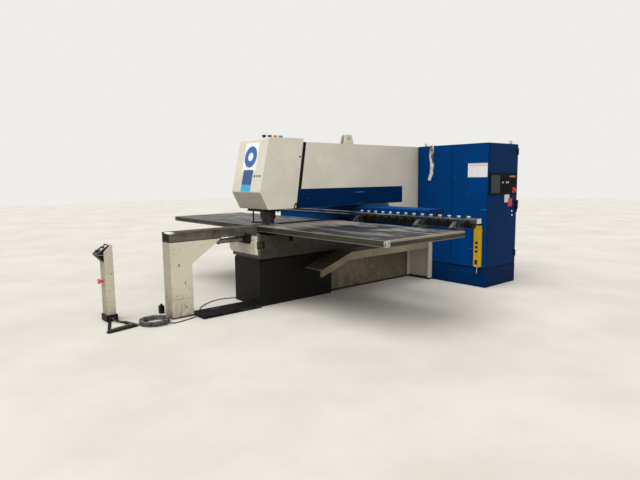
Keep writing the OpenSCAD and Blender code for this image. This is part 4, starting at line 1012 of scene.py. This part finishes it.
build("guard_screws", [screw((x, 2.4502, z), (0, -1, 0), 0.0045, 0.003, 12)
                       for x in (1.354, 1.421) for z in (0.3, 0.55, 0.8)],
      "frame", "dark_steel", 0)
print("cabinet fitted")

# %% [markdown]
# ## Strap on the cabinet
# A webbing strap hangs over the cabinet's front edge. A cloth simulation could drop it there, but it would settle a
# little differently each time. So it is laid as a flat band along listed points, with its own length: over the edge,
# down the panel, and up again from one fold.

# %% The strap's path
STRAP_WIDTH, STRAP_THICK = 0.036, 0.0016
strap_path = [(0.592, 2.64, 1.9602), (0.59, 2.56, 1.9602), (0.589, 2.522, 1.9598), (0.588, 2.5145, 1.954),
              (0.586, 2.513, 1.9), (0.58, 2.5135, 1.83), (0.572, 2.5145, 1.756), (0.59, 2.513, 1.69),
              (0.592, 2.5135, 1.62), (0.576, 2.511, 1.545), (0.548, 2.508, 1.478), (0.54, 2.506, 1.458),
              (0.534, 2.503, 1.464), (0.534, 2.504, 1.5), (0.552, 2.507, 1.56), (0.562, 2.5085, 1.64),
              (0.56, 2.51, 1.72), (0.545, 2.5105, 1.8), (0.552, 2.51, 1.88), (0.552, 2.511, 1.956),
              (0.551, 2.522, 1.9625), (0.55, 2.56, 1.9622), (0.549, 2.63, 1.9602)]
strap_line = smooth(strap_path, 5)
strap_length = sum((b - a).length for a, b in zip(strap_line, strap_line[1:]))
print("strap length:", round(strap_length, 3))

# %% The strap's weave
webbing = Finish("webbing", Roughness=0.8)
weave = webbing.node("TexWave", {"wave_type": "BANDS", "bands_direction": "Z"},
                     {"Scale": 160.0, "Distortion": 1.5}, out="Fac")
strap_stain = webbing.cloud(16, 5, 0.65, stretch=(1, 1, 0.35)).band(0.45, 0.58)
strap_cloth = webbing.paint(webbing.mix((0.66, 0.64, 0.6), (0.13, 0.085, 0.045), strap_stain), 0.75, weave, 0.0006)
print("weave nodes:", len(webbing.tree.nodes))

# %% Hang the strap
strap_mesh = bpy.data.meshes.new("webbing_strap")
strap_points = [tuple(p + Vector((w * STRAP_WIDTH / 4, 0.0006 * abs(w), 0))) for p in strap_line
                for w in (-2, -1, 0, 1, 2)]
strap_faces = [(5 * i + k, 5 * i + k + 1, 5 * i + k + 6, 5 * i + k + 5) for i in range(len(strap_line) - 1)
               for k in range(4)]
strap_mesh.from_pydata(strap_points, [], strap_faces)
strap_mesh.materials.append(strap_cloth)
for polygon in strap_mesh.polygons:
    polygon.use_smooth = True
strap = placed("webbing_strap", strap_mesh)
strap.modifiers.new("thickness", "SOLIDIFY").thickness = STRAP_THICK
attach(strap, "frame")
print("strap faces:", len(strap_faces))

# %% [markdown]
# ## Operator post
# The control box has bright trim along its sloping panel, and small buttons beside the two that
# move. The slope is worked out once from the panel's edges, and each button is placed by its share
# of the way up.

# %% The panel's slope
lip, brow = Vector((0, -1.975, 0.742)), Vector((0, -1.846, 0.834))
panel_up = (brow - lip).normalized()
panel_out = Vector((1, 0, 0)).cross(panel_up)


def on_panel(x, share, lift=0.0):
    """A point on the panel: x, the share of the way up, and a distance out from it."""
    return Vector((x, 0, 0)) + lip + share * (brow - lip) + lift * panel_out


def bar(width, length):
    """The outline of a bar that starts on its origin."""
    return [(-width / 2, 0), (width / 2, 0), (width / 2, length), (-width / 2, length)]


print("panel slope:", round(math.degrees(math.asin(panel_up.z)), 1), "degrees")

# %% Post fittings
trims = [sheet_cut(bar(0.005, 0.156), on_panel(x, 0.01), (1, 0, 0), panel_up, 0.003) for x in (-0.447, -0.313)]
trims.append(sheet_cut(bar(0.132, 0.005), on_panel(-0.38, 0.0), (1, 0, 0), panel_up, 0.0035))
trims.append(slab((-0.3104, -1.972, 0.7285), (-0.3088, -1.868, 0.7325)))
build("panel_trim", trims, "frame", "ground_steel", 0.0005)
BUTTON = [(0, 0.0125), (0.003, 0.0125), (0.003, 0.009), (0.012, 0.009), (0.014, 0.007)]
BUTTON_ROWS = {"white": ("knob_white", 0.8, (-0.33, -0.425)), "dark": ("cover_black", 0.24, (-0.362, -0.412)),
               "blue": ("button_blue", 0.26, (-0.432,))}
for name, (finish, share, places) in BUTTON_ROWS.items():
    build(f"panel_buttons_{name}", [turned(on_panel(x, share, -0.0002), panel_out, BUTTON) for x in places],
          "frame", finishes[finish], 0.0005, 2)
collar = [(0, 0.0125), (0, 0.0165), (0.0035, 0.016), (0.0035, 0.0125)]
for x, name in ((-0.345, "right"), (-0.395, "left")):
    build(f"button_collar_{name}", [ring(on_panel(x, 0.5), panel_out, collar, 28)], "frame", "ground_steel")
print("buttons beside the moving ones:", sum(len(row[2]) for row in BUTTON_ROWS.values()))

# %% [markdown]
# ## Cable coupling and post bolts
# A small black coupling stands at the leg's foot, and hexagon heads bolt the post to its frame.
# They are a block and turned profiles, like the parts themselves.

# %% Coupling and bolts
gland = [(0, 0.017), (0.012, 0.017), (0.013, 0.012), (0.022, 0.01)]
build("cable_coupling", [slab((-0.292, -1.343, 0), (-0.24, -1.291, 0.088)),
                         turned((-0.266, -1.317, 0.0875), (0, 0, 1), gland, 20)],
      "frame", "cover_black", 0.006, 3)
build("post_bolts", [h for y in (-1.885, -1.83) for h in hexagon((-0.2961, y, 0.04), (1, 0, 0), 0.007, 0.006)],
      "frame", "dark_steel")
print("post fitted")

# %% [markdown]
# ## Pedal
# The pedal is ribbed for grip. The ribs are thin bars at an even step on its slope, turned with it
# on the floor. They ride on the pedal, so they go down with it.

# %% Pedal ribs
RIB_STEP, RIB_FIRST, RIB_COUNT = 0.0205, 0.022, 12
PEDAL_RISE = 0.012 / 0.26
pedal_turn = math.radians(10.93)
across_pedal = Vector((math.cos(pedal_turn), math.sin(pedal_turn), 0))
along_pedal = Vector((-math.sin(pedal_turn), math.cos(pedal_turn), 0))
rib = [(-0.018, -0.002), (0.018, -0.002), (0.018, 0.002), (-0.018, 0.002)]
ribs = []
for k in range(RIB_COUNT):
    way = RIB_FIRST + RIB_STEP * k
    place = Vector((0.118, -2.03, 0.0299 + (way - 0.01) * PEDAL_RISE)) + way * along_pedal
    ribs.append(sheet_cut(rib, place, across_pedal, along_pedal, 0.0018))
build("pedal_ribs", ribs, "pedal", "pedal_green", 0.0004)
print("ribs:", len(ribs))
